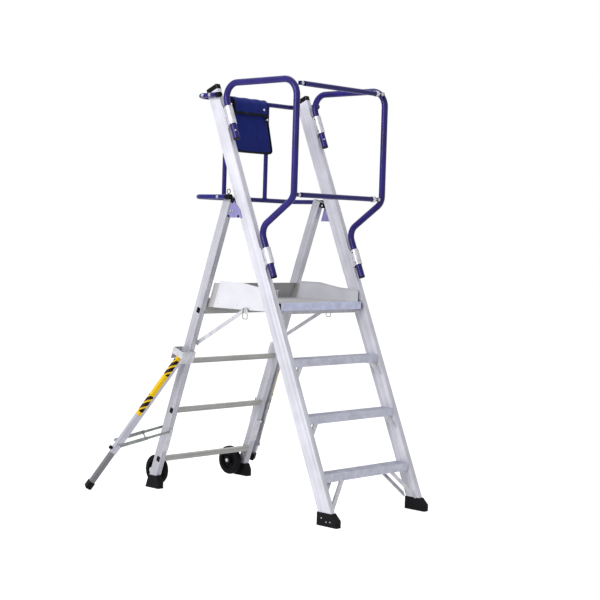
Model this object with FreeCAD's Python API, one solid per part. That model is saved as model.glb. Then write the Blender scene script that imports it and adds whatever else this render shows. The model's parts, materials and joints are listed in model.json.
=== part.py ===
import FreeCAD, Part
import math
import os

# Podium step: three treads and a guarded platform on a hinged rear frame.
# Millimetres. X runs across (positive on the climber's right), Y runs rearward, Z runs up.
# The origin is on the floor, midway between the front stiles, on the line of their front faces.
V = FreeCAD.Vector

# Steps and platform
FIRST_TREAD_HEIGHT = 220.0
STEP_RISE = 250.0
TREAD_COUNT = 3
CLEAR_WIDTH = 592.0

# Front stiles, hollow extrusions that lean back
FRONT_SLOPE = 0.425
FRONT_WIDTH = 27.0
FRONT_DEPTH = 71.5
FRONT_TOP = 1990.0

# Rear stiles, hollow extrusions that lean forward
REAR_SLOPE = -0.3503
REAR_FOOT_Y = 1230.0
REAR_WIDTH = 30.0
REAR_DEPTH = 47.0
REAR_TOP = 1455.0

# Extrusion wall, and gaps between pieces
STILE_WALL = 2.5
SEAT_GAP = 0.3
PIN_GAP = 0.05
HEAD_RATIO = 1.7

# Feet
SOLE = 8.0
BOOT_WALL = 3.0
FRONT_FOOT_HEIGHT = 60.0
FRONT_TOE = 12.0
FRONT_HEEL = 22.0
REAR_FOOT_HEIGHT = 64.0
REAR_TOE = 45.0
REAR_HEEL = 4.0
TOE_RISE = 28.0
CAP_DEPTH = 16.0
CAP_LID = 7.0
CAP_ROUND = 4.2

# Treads
TREAD_DROP = 36.0
TREAD_SKIN = 2.4
TREAD_END_GAP = 0.2
RIB_PITCH = 9.0
RIB_HEIGHT = 1.4
RIB_WIDTH = 3.0
TREAD_BRACKET_WIDTH = 22.0
TREAD_BRACKET_DROP = 12.0
LONG_BRACE_REACH = 119.0
SHORT_BRACE_REACH = 49.0
BRACE_BAR = 18.0
BRACE_BAR_THICKNESS = 8.0

# Main hinge between the frames
HINGE_FRONT_GAP = 17.0
HINGE_REAR_GAP = 18.0
HINGE_PIN_RADIUS = 5.0
TONGUE_RADIUS = 12.0
TONGUE_THICKNESS = 12.0
HINGE_PLATE = 3.5
HINGE_PLATE_DROP = 78.0
HINGE_PLATE_LAP = 14.0
HINGE_PLATE_SPREAD = 30.0
HINGE_PLATE_TOP = 5.0
PLATE_BOLT_RADIUS = 5.0
PLATE_BOLT_HEAD = 3.5

# Platform
PLATFORM_SIDE_GAP = 13.0
PLATFORM_SKIN = 3.0
PLATFORM_RIBS = 5
PLATFORM_RIB_WALL = 3.0
NOSING_DEPTH = 34.0
NOSING_HEIGHT = 35.0
NOSING_GROOVES = 5
NOSING_GROOVE_PITCH = 5.2
NOSING_GROOVE_WIDTH = 1.7
NOSING_FRONT_LAND = 6.3
NOSING_ROUND = 4.2
FRONT_BEAM_HEIGHT = 17.0
FRONT_BEAM_DEPTH = 25.0
FRONT_BEAM_INSET = 12.0
PIVOT_BACK = 42.75
PIVOT_DROP = 25.0
PIVOT_PIN_RADIUS = 6.0
TOE_BOARD = 2.5
TOE_BOARD_FRONT_RISE = 59.0
TOE_BOARD_MID_RISE = 66.0
TOE_BOARD_REAR_RISE = 85.0
TOE_BOARD_FRONT_BACK = 24.75
TOE_BOARD_MID_BACK = 148.75
TOE_BOARD_REAR_BACK = 270.75
TOE_BOARD_LEDGE = 12.0
REAR_BOARD_RISE = 75.0
REAR_BOARD_RETURN = 36.0
REAR_BOARD_GAP = 1.0

# Platform stays and their catches
STAY_LOW_AHEAD = 3.1
STAY_LOW_DROP = 220.0
STAY_HIGH_BACK = 224.75
STAY_HIGH_DROP = 40.0
STAY_WIDTH = 18.0
STAY_THICKNESS = 4.5
STAY_GAP = 1.5
STAY_PIN_RADIUS = 5.0
STAY_END_RADIUS = 12.0
CATCH_WIRE = 1.6
CATCH_HEIGHT = 45.0
CATCH_WIDTH = 30.0
CATCH_STUB_RADIUS = 3.0

# Rear rungs and cross tube
FIRST_RUNG_HEIGHT = 150.5
RUNG_RISE = 253.1
RUNG_COUNT = 3
RUNG_SIZE = 25.0
RUNG_WALL = 2.0
RUNG_CENTRE = 14.5
CROSS_TUBE_DROP = 43.0
CROSS_TUBE_SIZE = 34.0
PLUG_WIDTH = 20.0
PLUG_HEIGHT = 26.0
PLUG_LID = 2.0

# Wheels
WHEEL_INSET = 38.0
WHEEL_BACK = 50.0
WHEEL_FLOOR_GAP = 5.0
WHEEL_RADIUS = 75.0
WHEEL_WIDTH = 30.0
TYRE_ROUND = 8.4
RIM_RADIUS = 52.0
HUB_RADIUS = 19.0
HUB_WIDTH = 36.0
WHEEL_WEB = 8.0
RIM_RECESS = 2.0
AXLE_RADIUS = 6.0
AXLE_HEAD = 4.2
WHEEL_PLATE = 4.0

# Side rails: bent tubes that slide in sockets on the front faces of the front stiles
RAIL_INSET = 1.9
RAIL_RADIUS = 15.5
RAIL_WALL = 2.0
RAIL_OFFSET = 25.0
RAIL_LOW_END = 1092.0
RAIL_BEND_Z = 1313.0
RAIL_FRONT_Y = 326.0
RAIL_KNEE_Z = 1455.0
RAIL_TOP_Z = 1995.0
RAIL_HIGH_END = 1733.0
RAIL_BEND_RADII = (60.0, 60.0, 80.0, 67.0)
RAIL_PLUG_LID = 4.0
RAIL_PLUG_DEPTH = 14.0
LOW_SOCKET_BASE = 1150.0
LOW_SOCKET_TOP = 1222.0
HIGH_SOCKET_BASE = 1800.0
HIGH_SOCKET_TOP = 1884.0
SOCKET_RADIUS = 19.5
SOCKET_GAP = 0.08
SOCKET_FOOT = 5.0
SOCKET_WEB = 20.0
SOCKET_OVERRUN = 12.0

# Gate bars across the front
GATE_UPPER_DROP = 20.0
GATE_LOWER_RISE = 15.0
GATE_RADIUS = 12.0
GATE_WALL = 2.0
GATE_PIVOT_INSET = 29.6
GATE_TONGUE_LEFT = 16.0
GATE_TONGUE_RIGHT = 22.0
GATE_TONGUE = 6.0
GATE_EYE_RADIUS = 9.0
GATE_PIN_RADIUS = 4.0
GATE_LUG = 3.5
GATE_LUG_GAP = 0.6
HOOK_GAP = 0.5

# Rear guard
GUARD_SIDE_GAP = 5.5
GUARD_Y = 963.0
GUARD_RADIUS = 11.5
GUARD_WALL = 2.0
GUARD_UPPER_Z = 1940.0
GUARD_LOWER_RISE = 19.1
GUARD_UPPER_REACH = 58.2
GUARD_LOWER_BACK = 1.8
GUARD_BEND = 55.0
GUARD_POST_X = 142.0
GUARD_POST_RADIUS = 11.0
GUARD_PIVOT_ACROSS = 31.0
GUARD_PIN_RADIUS = 5.0
GUARD_WASHER_RADIUS = 13.0
RING_RADIUS = 11.0
RING_WIRE = 1.8
RING_POST_RADIUS = 3.2
SLEEVE_LENGTH = 28.6
GUARD_CAP = 9.0
SLEEVE_WALL = 1.1

# Tool bag on the guard's upper rail
BAG_DROP = 18.0
BAG_HEIGHT = 232.0
BAG_TOP_EDGE = (-122.0, 102.0)
BAG_BOTTOM_EDGE = (-138.0, 158.0)
BAG_THICKNESS = 25.0
BAG_SLEEVE = 2.5
BAG_SLEEVE_GAP = 0.6
FLAP_DROP = 67.0
FLAP_THICKNESS = 2.5
FLAP_GAP = 1.0

# Stabiliser legs, hinged on the outer faces of the rear stiles
LEG_OUT = 25.0
LEG_ACROSS = 20.0
LEG_Z = 685.0
SWING_TILT = 26.1
DEPLOYED_ANGLE = 21.2
FOLDED_ANGLE = 2.2
LEG_TUBE = 30.0
LEG_WALL = 2.2
LEG_TOP = 9.0
LEG_LENGTH = 595.0
LEG_PIN_RADIUS = 5.0
SLIDER_TUBE = 25.0
SLIDER_WALL = 2.0
SLIDER_LENGTH = 330.0
FOOT_CAP = 32.0
FOOT_CAP_LENGTH = 42.0
FOOT_CAP_ROUND = 11.0
FOOT_CAP_COVER = 18.0
FOOT_CAP_CLEARANCE = 13.0
KNOB_FROM_END = 18.0
KNOB_RADIUS = 9.0
KNOB_HEIGHT = 15.0
KNOB_STEM = 4.0

# Stabiliser stays: two bars that straddle the leg and the stile
STRUT_FROM_END = 45.0
STRUT_STILE_ALONG = 318.0
STRUT_BAR = 18.0
STRUT_TAIL = 13.0
STRUT_THICKNESS = 3.0
STRUT_NEAR_GAP = 0.8
STRUT_FAR = 54.0
STRUT_ROD_SHARE = 0.536
STRUT_ROD_RADIUS = 3.0
STRUT_FOLDED_ANGLE = 8.1
STRUT_PEG_RADIUS = 5.0

# Stabiliser brackets
BRACKET_WALL = 3.0
BRACKET_FRONT = 14.0
BRACKET_REAR = 61.0
BRACKET_REACH = 53.0
BRACKET_UP = 30.0
BRACKET_DOWN = 30.0
BRACKET_WEB_DOWN = 4.0
STRIP_BOTTOM = 194.0
STRIP_TOP = 307.0
STRIP_THICKNESS = 3.5

# Sizes that follow from the ones above
PLATFORM_TOP = FIRST_TREAD_HEIGHT + TREAD_COUNT * STEP_RISE
INNER = CLEAR_WIDTH / 2
OUTER = INNER + FRONT_WIDTH
REAR_INNER = OUTER - REAR_WIDTH
PLATFORM_HALF_WIDTH = INNER - PLATFORM_SIDE_GAP
PLATFORM_FRONT = FRONT_SLOPE * PLATFORM_TOP
PIVOT_Y = PLATFORM_FRONT + PIVOT_BACK
PIVOT_Z = PLATFORM_TOP - PIVOT_DROP
STAY_HIGH_Y = PLATFORM_FRONT + STAY_HIGH_BACK
STAY_HIGH_Z = PLATFORM_TOP - STAY_HIGH_DROP
CROSS_TUBE_TOP = PLATFORM_TOP - CROSS_TUBE_DROP
TOE_BOARD_BOTTOM = CROSS_TUBE_TOP
TOE_BOARD_TOP = PLATFORM_TOP + TOE_BOARD_REAR_RISE
REAR_BOARD_TOP = PLATFORM_TOP + REAR_BOARD_RISE
RUNG_HEIGHTS = [FIRST_RUNG_HEIGHT + i * RUNG_RISE for i in range(RUNG_COUNT)]
WHEEL_X = REAR_INNER - WHEEL_INSET
WHEEL_Y = REAR_FOOT_Y + WHEEL_BACK
WHEEL_Z = WHEEL_RADIUS + WHEEL_FLOOR_GAP
RAIL_X = (INNER + OUTER) / 2 - RAIL_INSET
SOCKET_RANGES = [(LOW_SOCKET_BASE, LOW_SOCKET_TOP), (HIGH_SOCKET_BASE, HIGH_SOCKET_TOP)]
GATE_HEIGHTS = [RAIL_TOP_Z - GATE_UPPER_DROP, RAIL_KNEE_Z + GATE_LOWER_RISE]
GATE_PIVOT_X = RAIL_X - GATE_PIVOT_INSET
GATE_TUBE_LEFT = GATE_PIVOT_X - GATE_TONGUE_LEFT
GATE_TUBE_RIGHT = GATE_PIVOT_X - GATE_TONGUE_RIGHT
GUARD_X = OUTER + GUARD_SIDE_GAP + GUARD_RADIUS
BAG_TOP = GUARD_UPPER_Z - BAG_DROP
BAG_BOTTOM = BAG_TOP - BAG_HEIGHT
FLAP_HEM = GUARD_UPPER_Z - FLAP_DROP
LEG_X = OUTER + LEG_OUT
BRACKET_OUT = OUTER + BRACKET_REACH
RETRACTED_REACH = LEG_LENGTH + FOOT_CAP_CLEARANCE + FOOT_CAP_LENGTH
KNOB_AT = LEG_LENGTH - KNOB_FROM_END
STRUT_AT = LEG_LENGTH - STRUT_FROM_END


class Lean:
    """A leaning line in the side view: along runs up it, across runs square to it, rearward."""

    def __init__(self, foot_y, slope):
        length = math.hypot(1.0, slope)
        self.foot_y = foot_y
        self.up = (slope / length, 1.0 / length)
        self.back = (1.0 / length, -slope / length)

    def point(self, across, along):
        y = self.foot_y + along * self.up[0] + across * self.back[0]
        z = along * self.up[1] + across * self.back[1]
        return (y, z)

    def along_at(self, across, height):
        return (height - across * self.back[1]) / self.up[1]

    def at_height(self, across, height):
        return self.point(across, self.along_at(across, height))

    def across_of(self, y, z):
        return (y - self.foot_y) * self.back[0] + z * self.back[1]

    def along_of(self, y, z):
        return (y - self.foot_y) * self.up[0] + z * self.up[1]


front = Lean(0.0, FRONT_SLOPE)
rear = Lean(REAR_FOOT_Y, REAR_SLOPE)


def hinge_point():
    """Where the two frames turn about each other: a set distance off both stiles' facing sides."""
    n = FRONT_DEPTH + HINGE_FRONT_GAP
    m = -HINGE_REAR_GAP
    (a, b), (c, d) = front.back, rear.back
    right_front = n
    right_rear = m + REAR_FOOT_Y * c
    det = a * d - b * c
    y = (right_front * d - b * right_rear) / det
    z = (a * right_rear - c * right_front) / det
    return (y, z)


def guard_pivot():
    return front.at_height(GUARD_PIVOT_ACROSS, GUARD_UPPER_Z)


HINGE_Y, HINGE_Z = hinge_point()
GUARD_UPPER_END = guard_pivot()[0] - GUARD_UPPER_REACH
GUARD_LOWER_Z = HINGE_Z + GUARD_LOWER_RISE
GUARD_LOWER_END = HINGE_Y + GUARD_LOWER_BACK
STAY_LOW_Y, STAY_LOW_Z = rear.at_height(-STAY_LOW_AHEAD, PLATFORM_TOP - STAY_LOW_DROP)


def prism(points, x0, x1):
    """A side-view outline of (y, z) points, filled from x0 to x1."""
    corners = [V(x0, y, z) for y, z in points]
    wire = Part.makePolygon(corners + [corners[0]])
    return Part.Face(wire).extrude(V(x1 - x0, 0, 0))


def lean_box(lean, across, along, x):
    """A box in a leaning frame: ranges across, along and over x."""
    n0, n1 = across
    a0, a1 = along
    points = [lean.point(n0, a0), lean.point(n1, a0), lean.point(n1, a1), lean.point(n0, a1)]
    return prism(points, x[0], x[1])


def box(x, y, z):
    return Part.makeBox(x[1] - x[0], y[1] - y[0], z[1] - z[0], V(x[0], y[0], z[0]))


def rod(start, end, radius):
    start, end = V(*start), V(*end)
    return Part.makeCylinder(radius, (end - start).Length, start, end - start)


def mirrored(shape):
    return shape.mirror(V(0, 0, 0), V(1, 0, 0))


def both(shape):
    return [mirrored(shape), shape]


def fuse(shapes):
    whole = shapes[0].fuse(shapes[1:])
    return whole.removeSplitter()


def bent_wire(points, radii):
    """Straight runs joined by tangent arcs, one radius for each inner point."""
    points = [V(*p) for p in points]
    edges = []
    start = points[0]
    for before, corner, after, radius in zip(points, points[1:], points[2:], radii):
        back = (before - corner).normalize()
        ahead = (after - corner).normalize()
        half = back.getAngle(ahead) / 2
        reach = radius / math.tan(half)
        enter = corner + back * reach
        leave = corner + ahead * reach
        bisector = (back + ahead).normalize()
        middle = corner + bisector * (radius / math.sin(half) - radius)
        edges.append(Part.LineSegment(start, enter).toShape())
        edges.append(Part.Arc(enter, middle, leave).toShape())
        start = leave
    edges.append(Part.LineSegment(start, points[-1]).toShape())
    return Part.Wire(edges)


def swept(points, radii, radius):
    wire = bent_wire(points, radii)
    first, second = V(*points[0]), V(*points[1])
    circle = Part.Wire(Part.makeCircle(radius, first, second - first))
    return wire.makePipeShell([circle], True, False)


def pipe(points, radii, radius, wall):
    return swept(points, radii, radius).cut(swept(points, radii, radius - wall))


def save(name, shapes):
    """Write one node as a STEP file: a solid, or a group of separate solids."""
    if not isinstance(shapes, list):
        shapes = [shapes]
    solids = [solid for shape in shapes for solid in shape.Solids]
    shape = solids[0] if len(solids) == 1 else Part.makeCompound(solids)
    shape.exportStep("parts/" + name + ".step")


# Front frame


def stile(lean, depth, top, x):
    """A hollow stile, cut level above the floor and square to itself at the top."""
    top_along = lean.along_at(0, top)

    def outline(n0, n1, low, high):
        return [
            lean.at_height(n0, low), lean.at_height(n1, low),
            lean.point(n1, high), lean.point(n0, high),
        ]

    outer = prism(outline(0, depth, SOLE, top_along), x[0], x[1])
    over = STILE_WALL * 4
    bore = prism(
        outline(STILE_WALL, depth - STILE_WALL, SOLE - over, top_along + over),
        x[0] + STILE_WALL, x[1] - STILE_WALL,
    )
    return outer.cut(bore)


def front_stile():
    return stile(front, FRONT_DEPTH, FRONT_TOP, (INNER, OUTER))


def along_of_edge(edge):
    return front.along_of(edge.CenterOfMass.y, edge.CenterOfMass.z)


def front_cap():
    """A plug with a rounded lid in the top of a front stile."""
    top = front.along_at(0, FRONT_TOP)
    lid = lean_box(front, (0, FRONT_DEPTH), (top, top + CAP_LID), (INNER, OUTER))
    ridge = [e for e in lid.Edges if along_of_edge(e) > top + CAP_LID - CAP_ROUND / 2]
    lid = lid.makeFillet(CAP_ROUND, ridge)
    inset = STILE_WALL + SEAT_GAP
    x = (INNER + inset, OUTER - inset)
    spigot = lean_box(front, (inset, FRONT_DEPTH - inset), (top - CAP_DEPTH, top + CAP_LID / 2), x)
    return fuse([lid, spigot])


def boot(lean, depth, height, toe, heel, x):
    """A moulded boot round the foot of a stile, flared at the toe, with a socket for the stile."""
    wall = BOOT_WALL + SEAT_GAP
    toe_y = lean.at_height(0, 0)[0] - toe
    heel_y = lean.at_height(depth, 0)[0] + heel
    back_low = (max(heel_y, lean.at_height(depth + wall, height)[0]), 0)
    back_high = lean.at_height(depth + wall, height)
    points = [(toe_y, 0), back_low, back_high, lean.at_height(-wall, height), (toe_y, TOE_RISE)]
    block = prism(points, x[0] - wall, x[1] + wall)
    toe_edges = [e for e in block.Edges if abs(e.CenterOfMass.y - toe_y) < SEAT_GAP]
    upright = [e for e in toe_edges if abs(e.CenterOfMass.z - TOE_RISE / 2) < SEAT_GAP]
    block = block.makeFillet(BOOT_WALL * 2, upright)
    gap = SEAT_GAP
    hollow = [
        lean.at_height(-gap, SOLE), lean.at_height(depth + gap, SOLE),
        lean.at_height(depth + gap, height * 2), lean.at_height(-gap, height * 2),
    ]
    return block.cut(prism(hollow, x[0] - gap, x[1] + gap))


def front_foot():
    return boot(front, FRONT_DEPTH, FRONT_FOOT_HEIGHT, FRONT_TOE, FRONT_HEEL, (INNER, OUTER))


def rear_foot():
    return boot(rear, REAR_DEPTH, REAR_FOOT_HEIGHT, REAR_TOE, REAR_HEEL, (REAR_INNER, OUTER))


def tread_height(number):
    return FIRST_TREAD_HEIGHT + number * STEP_RISE


def tread(number):
    """A channel tread: ribbed top, deep front lip, shallower rear lip."""
    top = tread_height(number)
    y0 = front.at_height(0, top)[0]
    y1 = front.at_height(FRONT_DEPTH, top)[0]
    x = (-INNER + TREAD_END_GAP, INNER - TREAD_END_GAP)
    skin_top = top - RIB_HEIGHT
    pieces = [
        box(x, (y0, y1), (skin_top - TREAD_SKIN, skin_top)),
        box(x, (y0, y0 + TREAD_SKIN), (top - TREAD_DROP, skin_top)),
        box(x, (y1 - TREAD_SKIN, y1), (top - TREAD_DROP, skin_top)),
        box(x, (y0, y0 + TREAD_SKIN * 3), (top - TREAD_DROP, top - TREAD_DROP + TREAD_SKIN)),
    ]
    count = int((y1 - y0 - RIB_WIDTH) / RIB_PITCH) + 1
    for i in range(count):
        start = y0 + i * RIB_PITCH
        pieces.append(box(x, (start, start + RIB_WIDTH), (skin_top - TREAD_SKIN / 2, top)))
    return fuse(pieces)


def tread_stays(number):
    """End brackets under a tread, and the diagonal bars from it down to the stiles."""
    top = tread_height(number)
    under = top - TREAD_DROP
    y0 = front.at_height(0, top)[0]
    y1 = front.at_height(FRONT_DEPTH, top)[0]
    inset = TREAD_SKIN + SEAT_GAP
    bracket_y = (y0 + TREAD_SKIN * 3 + SEAT_GAP, y1 - inset)
    bracket_x = (INNER - TREAD_BRACKET_WIDTH, INNER - TREAD_END_GAP)
    wall = TREAD_SKIN
    roof = top - RIB_HEIGHT - inset
    bracket = fuse([
        box((bracket_x[1] - wall, bracket_x[1]), bracket_y, (under - TREAD_BRACKET_DROP, roof)),
        box(bracket_x, bracket_y, (roof - wall, roof)),
    ])
    shapes = both(bracket)
    long_stay = number == 0
    reach = LONG_BRACE_REACH if long_stay else SHORT_BRACE_REACH
    starts = [y0 + SEAT_GAP]
    if long_stay:
        starts.append(y1 - BRACE_BAR_THICKNESS - SEAT_GAP)
    for y in starts:
        shapes += both(diagonal_bar(reach, under, y))
    return shapes


def diagonal_bar(reach, under, y):
    """A 45 degree bar that leans with the stile, cut level at the tread and upright at the stile."""
    half = BRACE_BAR / math.sqrt(2)
    top_x = INNER - reach
    outline = [
        (top_x - half, under), (top_x + half, under),
        (INNER, under - reach + half), (INNER, under - reach - half),
    ]
    corners = [V(x, y + FRONT_SLOPE * (z - under), z) for x, z in outline]
    face = Part.Face(Part.makePolygon(corners + [corners[0]]))
    bar = face.extrude(V(0, BRACE_BAR_THICKNESS, 0))
    boot_x = (INNER - BOOT_WALL - SEAT_GAP * 2, INNER + FRONT_WIDTH)
    boot_y = (-FRONT_TOE, FRONT_DEPTH * 2)
    return bar.cut(box(boot_x, boot_y, (0, FRONT_FOOT_HEIGHT + SEAT_GAP)))


def rail_line(height):
    """The line that a side rail's tails lie on, in front of the front stile."""
    return front.at_height(-RAIL_OFFSET, height)


def rail_socket(low, high):
    """A sleeve on a flat foot, for one tail of a side rail."""
    a0 = front.along_at(-RAIL_OFFSET, low)
    a1 = front.along_at(-RAIL_OFFSET, high)
    start, end = front.point(-RAIL_OFFSET, a0), front.point(-RAIL_OFFSET, a1)
    sleeve = rod((RAIL_X, *start), (RAIL_X, *end), SOCKET_RADIUS)
    web_x = (RAIL_X - SOCKET_WEB / 2, RAIL_X + SOCKET_WEB / 2)
    web = lean_box(front, (-RAIL_OFFSET, -SEAT_GAP), (a0, a1), web_x)
    foot_along = (a0 - SOCKET_OVERRUN, a1 + SOCKET_OVERRUN)
    foot = lean_box(front, (-SOCKET_FOOT - SEAT_GAP, -SEAT_GAP), foot_along, (INNER, OUTER))
    reach = SOCKET_OVERRUN * 2
    bore_start = front.point(-RAIL_OFFSET, a0 - reach)
    bore_end = front.point(-RAIL_OFFSET, a1 + reach)
    bore = rod((RAIL_X, *bore_start), (RAIL_X, *bore_end), RAIL_RADIUS + SOCKET_GAP)
    return fuse([sleeve, web, foot]).cut(bore)


def hinge_plate():
    """The plate on the outer side of the front stile that carries the hinge pin."""
    x = (OUTER + SEAT_GAP, OUTER + SEAT_GAP + HINGE_PLATE)
    lap = FRONT_DEPTH - HINGE_PLATE_LAP
    low = HINGE_Z - HINGE_PLATE_DROP
    top = HINGE_Z + HINGE_PLATE_TOP
    points = [
        front.at_height(lap, low),
        (HINGE_Y + HINGE_PLATE_SPREAD, low),
        (HINGE_Y + HINGE_PLATE_TOP, top),
        (HINGE_Y - HINGE_PLATE_TOP, top),
        front.at_height(lap, HINGE_Z - HINGE_PLATE_DROP / 2),
    ]
    plate = prism(points, x[0], x[1])
    return plate.cut(hinge_bore())


def hinge_bore():
    reach = OUTER + HINGE_PLATE * 3
    return rod((REAR_INNER, HINGE_Y, HINGE_Z), (reach, HINGE_Y, HINGE_Z), HINGE_PIN_RADIUS + PIN_GAP)


def tongue_range():
    middle = (REAR_INNER + OUTER) / 2 - REAR_WIDTH / 6
    return (middle - TONGUE_THICKNESS / 2, middle + TONGUE_THICKNESS / 2)


def hinge_pin():
    start = tongue_range()[0] - TONGUE_THICKNESS / 6
    end = OUTER + SEAT_GAP + HINGE_PLATE
    return rod((start, HINGE_Y, HINGE_Z), (end, HINGE_Y, HINGE_Z), HINGE_PIN_RADIUS)


def hinge_tongue():
    """The black tongue on the rear stile's front face that turns on the hinge pin."""
    x = tongue_range()
    disc = rod((x[0], HINGE_Y, HINGE_Z), (x[1], HINGE_Y, HINGE_Z), TONGUE_RADIUS)
    along = rear.along_of(HINGE_Y, HINGE_Z)
    arm = lean_box(rear, (-HINGE_REAR_GAP, 0), (along - TONGUE_RADIUS, along + TONGUE_RADIUS * 0.8), x)
    return fuse([disc, arm]).cut(hinge_bore())


def platform_pin():
    """A stub pin on the inner face of the front stile, with a collar, that the platform turns on."""
    end = PLATFORM_HALF_WIDTH - TOE_BOARD - TOE_BOARD_LEDGE / 2
    pin = rod((end, PIVOT_Y, PIVOT_Z), (INNER, PIVOT_Y, PIVOT_Z), PIVOT_PIN_RADIUS)
    collar_start = PLATFORM_HALF_WIDTH + STAY_GAP
    collar = rod((collar_start, PIVOT_Y, PIVOT_Z), (INNER, PIVOT_Y, PIVOT_Z), PIVOT_PIN_RADIUS * 2)
    return fuse([pin, collar])


def guard_pin():
    """A shouldered pin on the outer face of the front stile, near its top, that the guard turns on."""
    y, z = guard_pivot()
    washer_end = GUARD_X - GUARD_RADIUS - SEAT_GAP
    head_start = GUARD_X + GUARD_RADIUS + SEAT_GAP
    head_end = head_start + PLATE_BOLT_HEAD
    return fuse([
        rod((OUTER, y, z), (washer_end, y, z), GUARD_WASHER_RADIUS),
        rod((OUTER, y, z), (head_end, y, z), GUARD_PIN_RADIUS),
        rod((head_start, y, z), (head_end, y, z), GUARD_PIN_RADIUS * HEAD_RATIO),
    ])


def front_fasteners():
    """Bolt heads on the front frame: hinge plates, feet and sockets."""
    plate_x = OUTER + SEAT_GAP + HINGE_PLATE
    low = HINGE_Z - HINGE_PLATE_DROP + PLATE_BOLT_RADIUS * 1.4
    spots = [
        (front.at_height(FRONT_DEPTH + PLATE_BOLT_RADIUS, low)[0], low),
        (HINGE_Y + HINGE_PLATE_SPREAD - PLATE_BOLT_RADIUS * 1.4, low),
        (HINGE_Y - PLATE_BOLT_RADIUS * 1.5, HINGE_Z - HINGE_PLATE_DROP * 0.6),
        (HINGE_Y + PLATE_BOLT_RADIUS * 1.5, HINGE_Z - HINGE_PLATE_DROP * 0.6),
    ]
    shapes = [rod((plate_x, y, z), (plate_x + PLATE_BOLT_HEAD, y, z), PLATE_BOLT_RADIUS) for y, z in spots]
    foot_x = OUTER + BOOT_WALL + SEAT_GAP
    for across, height in ((FRONT_DEPTH * 0.2, 0.4), (FRONT_DEPTH * 0.5, 0.36), (FRONT_DEPTH * 0.8, 0.6)):
        y, z = front.at_height(across, FRONT_FOOT_HEIGHT * height)
        shapes.append(rod((foot_x, y, z), (foot_x + PLATE_BOLT_HEAD / 2, y, z), PLATE_BOLT_RADIUS * 0.6))
    for low_end, high_end in SOCKET_RANGES:
        for height in (low_end, high_end):
            step = SOCKET_OVERRUN / 2 if height == high_end else -SOCKET_OVERRUN / 2
            along = front.along_at(-RAIL_OFFSET, height) + step
            face = -SOCKET_FOOT - SEAT_GAP
            start = front.point(face, along)
            end = front.point(face - PLATE_BOLT_HEAD / 2, along)
            shapes.append(rod((RAIL_X, *start), (RAIL_X, *end), PLATE_BOLT_RADIUS * 0.8))
    return [s for shape in shapes for s in both(shape)]


# Rear frame


def rear_stile():
    return stile(rear, REAR_DEPTH, REAR_TOP, (REAR_INNER, OUTER))


def square_tube(y, z, size, wall, half_length):
    outer = box((-half_length, half_length), (y - size / 2, y + size / 2), (z - size / 2, z + size / 2))
    inner = size / 2 - wall
    bore = box((-half_length - wall, half_length + wall), (y - inner, y + inner), (z - inner, z + inner))
    return outer.cut(bore)


def rear_rung(height):
    y, z = rear.at_height(RUNG_CENTRE, height)
    return square_tube(y, z, RUNG_SIZE, RUNG_WALL, REAR_INNER)


def cross_tube_centre():
    return rear.at_height(RUNG_CENTRE, CROSS_TUBE_TOP - CROSS_TUBE_SIZE / 2)


def rear_cross_tube():
    y, z = cross_tube_centre()
    return square_tube(y, z, CROSS_TUBE_SIZE, RUNG_WALL, REAR_INNER)


def rung_plugs():
    """Square plugs on the outer faces of the rear stiles, where the lower rungs and cross tube end."""
    shapes = []
    heights = [h for h in RUNG_HEIGHTS if h < LEG_Z - BRACKET_DOWN * 2]
    heights.append(CROSS_TUBE_TOP - CROSS_TUBE_SIZE / 2)
    for height in heights:
        along = rear.along_at(RUNG_CENTRE, height)
        shapes += both(lean_box(
            rear, (RUNG_CENTRE - PLUG_WIDTH / 2, RUNG_CENTRE + PLUG_WIDTH / 2),
            (along - PLUG_HEIGHT / 2, along + PLUG_HEIGHT / 2), (OUTER, OUTER + PLUG_LID),
        ))
    return shapes


def axle_rod(start, end, radius):
    return rod((start, WHEEL_Y, WHEEL_Z), (end, WHEEL_Y, WHEEL_Z), radius)


def wheel_bracket():
    """A plate on the inner face of the rear stile that reaches back to the axle."""
    x = (REAR_INNER - WHEEL_PLATE, REAR_INNER)
    low = REAR_FOOT_HEIGHT + BOOT_WALL
    high = RUNG_HEIGHTS[0] - RUNG_SIZE / 2 - BOOT_WALL
    boss = AXLE_RADIUS * 2.4
    points = [
        rear.at_height(BOOT_WALL, low), (WHEEL_Y, WHEEL_Z - boss),
        (WHEEL_Y, WHEEL_Z + boss), rear.at_height(BOOT_WALL, high),
    ]
    arm = prism(points, x[0], x[1])
    hole = axle_rod(x[0] - 1, x[1] + 1, AXLE_RADIUS + PIN_GAP)
    return fuse([arm, axle_rod(x[0], x[1], boss)]).cut(hole)


def wheel_axle():
    """An axle bolt through the bracket and the wheel, with a spacer between them."""
    hub_start = WHEEL_X - HUB_WIDTH / 2 - SEAT_GAP
    hub_end = WHEEL_X + HUB_WIDTH / 2 + SEAT_GAP
    head_start = hub_start - AXLE_HEAD
    nut_end = REAR_INNER + AXLE_HEAD
    head_radius = AXLE_RADIUS * HEAD_RATIO
    return fuse([
        axle_rod(head_start, nut_end, AXLE_RADIUS),
        axle_rod(head_start, hub_start, head_radius),
        axle_rod(hub_end, REAR_INNER - WHEEL_PLATE, head_radius),
        axle_rod(REAR_INNER, nut_end, head_radius),
    ])


def wheel_disc(width, radius):
    return axle_rod(WHEEL_X - width / 2, WHEEL_X + width / 2, radius)


def wheel():
    """A moulded wheel centre: hub, web and rim."""
    rim_wall = WHEEL_WEB / 2
    hub = wheel_disc(HUB_WIDTH, HUB_RADIUS)
    web = wheel_disc(WHEEL_WEB, RIM_RADIUS - rim_wall / 2)
    rim = wheel_disc(WHEEL_WIDTH - RIM_RECESS * 2, RIM_RADIUS)
    well = wheel_disc(WHEEL_WIDTH, RIM_RADIUS - rim_wall)
    bore = wheel_disc(HUB_WIDTH * 2, AXLE_RADIUS + PIN_GAP)
    return fuse([hub, web, rim.cut(well)]).cut(bore)


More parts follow.
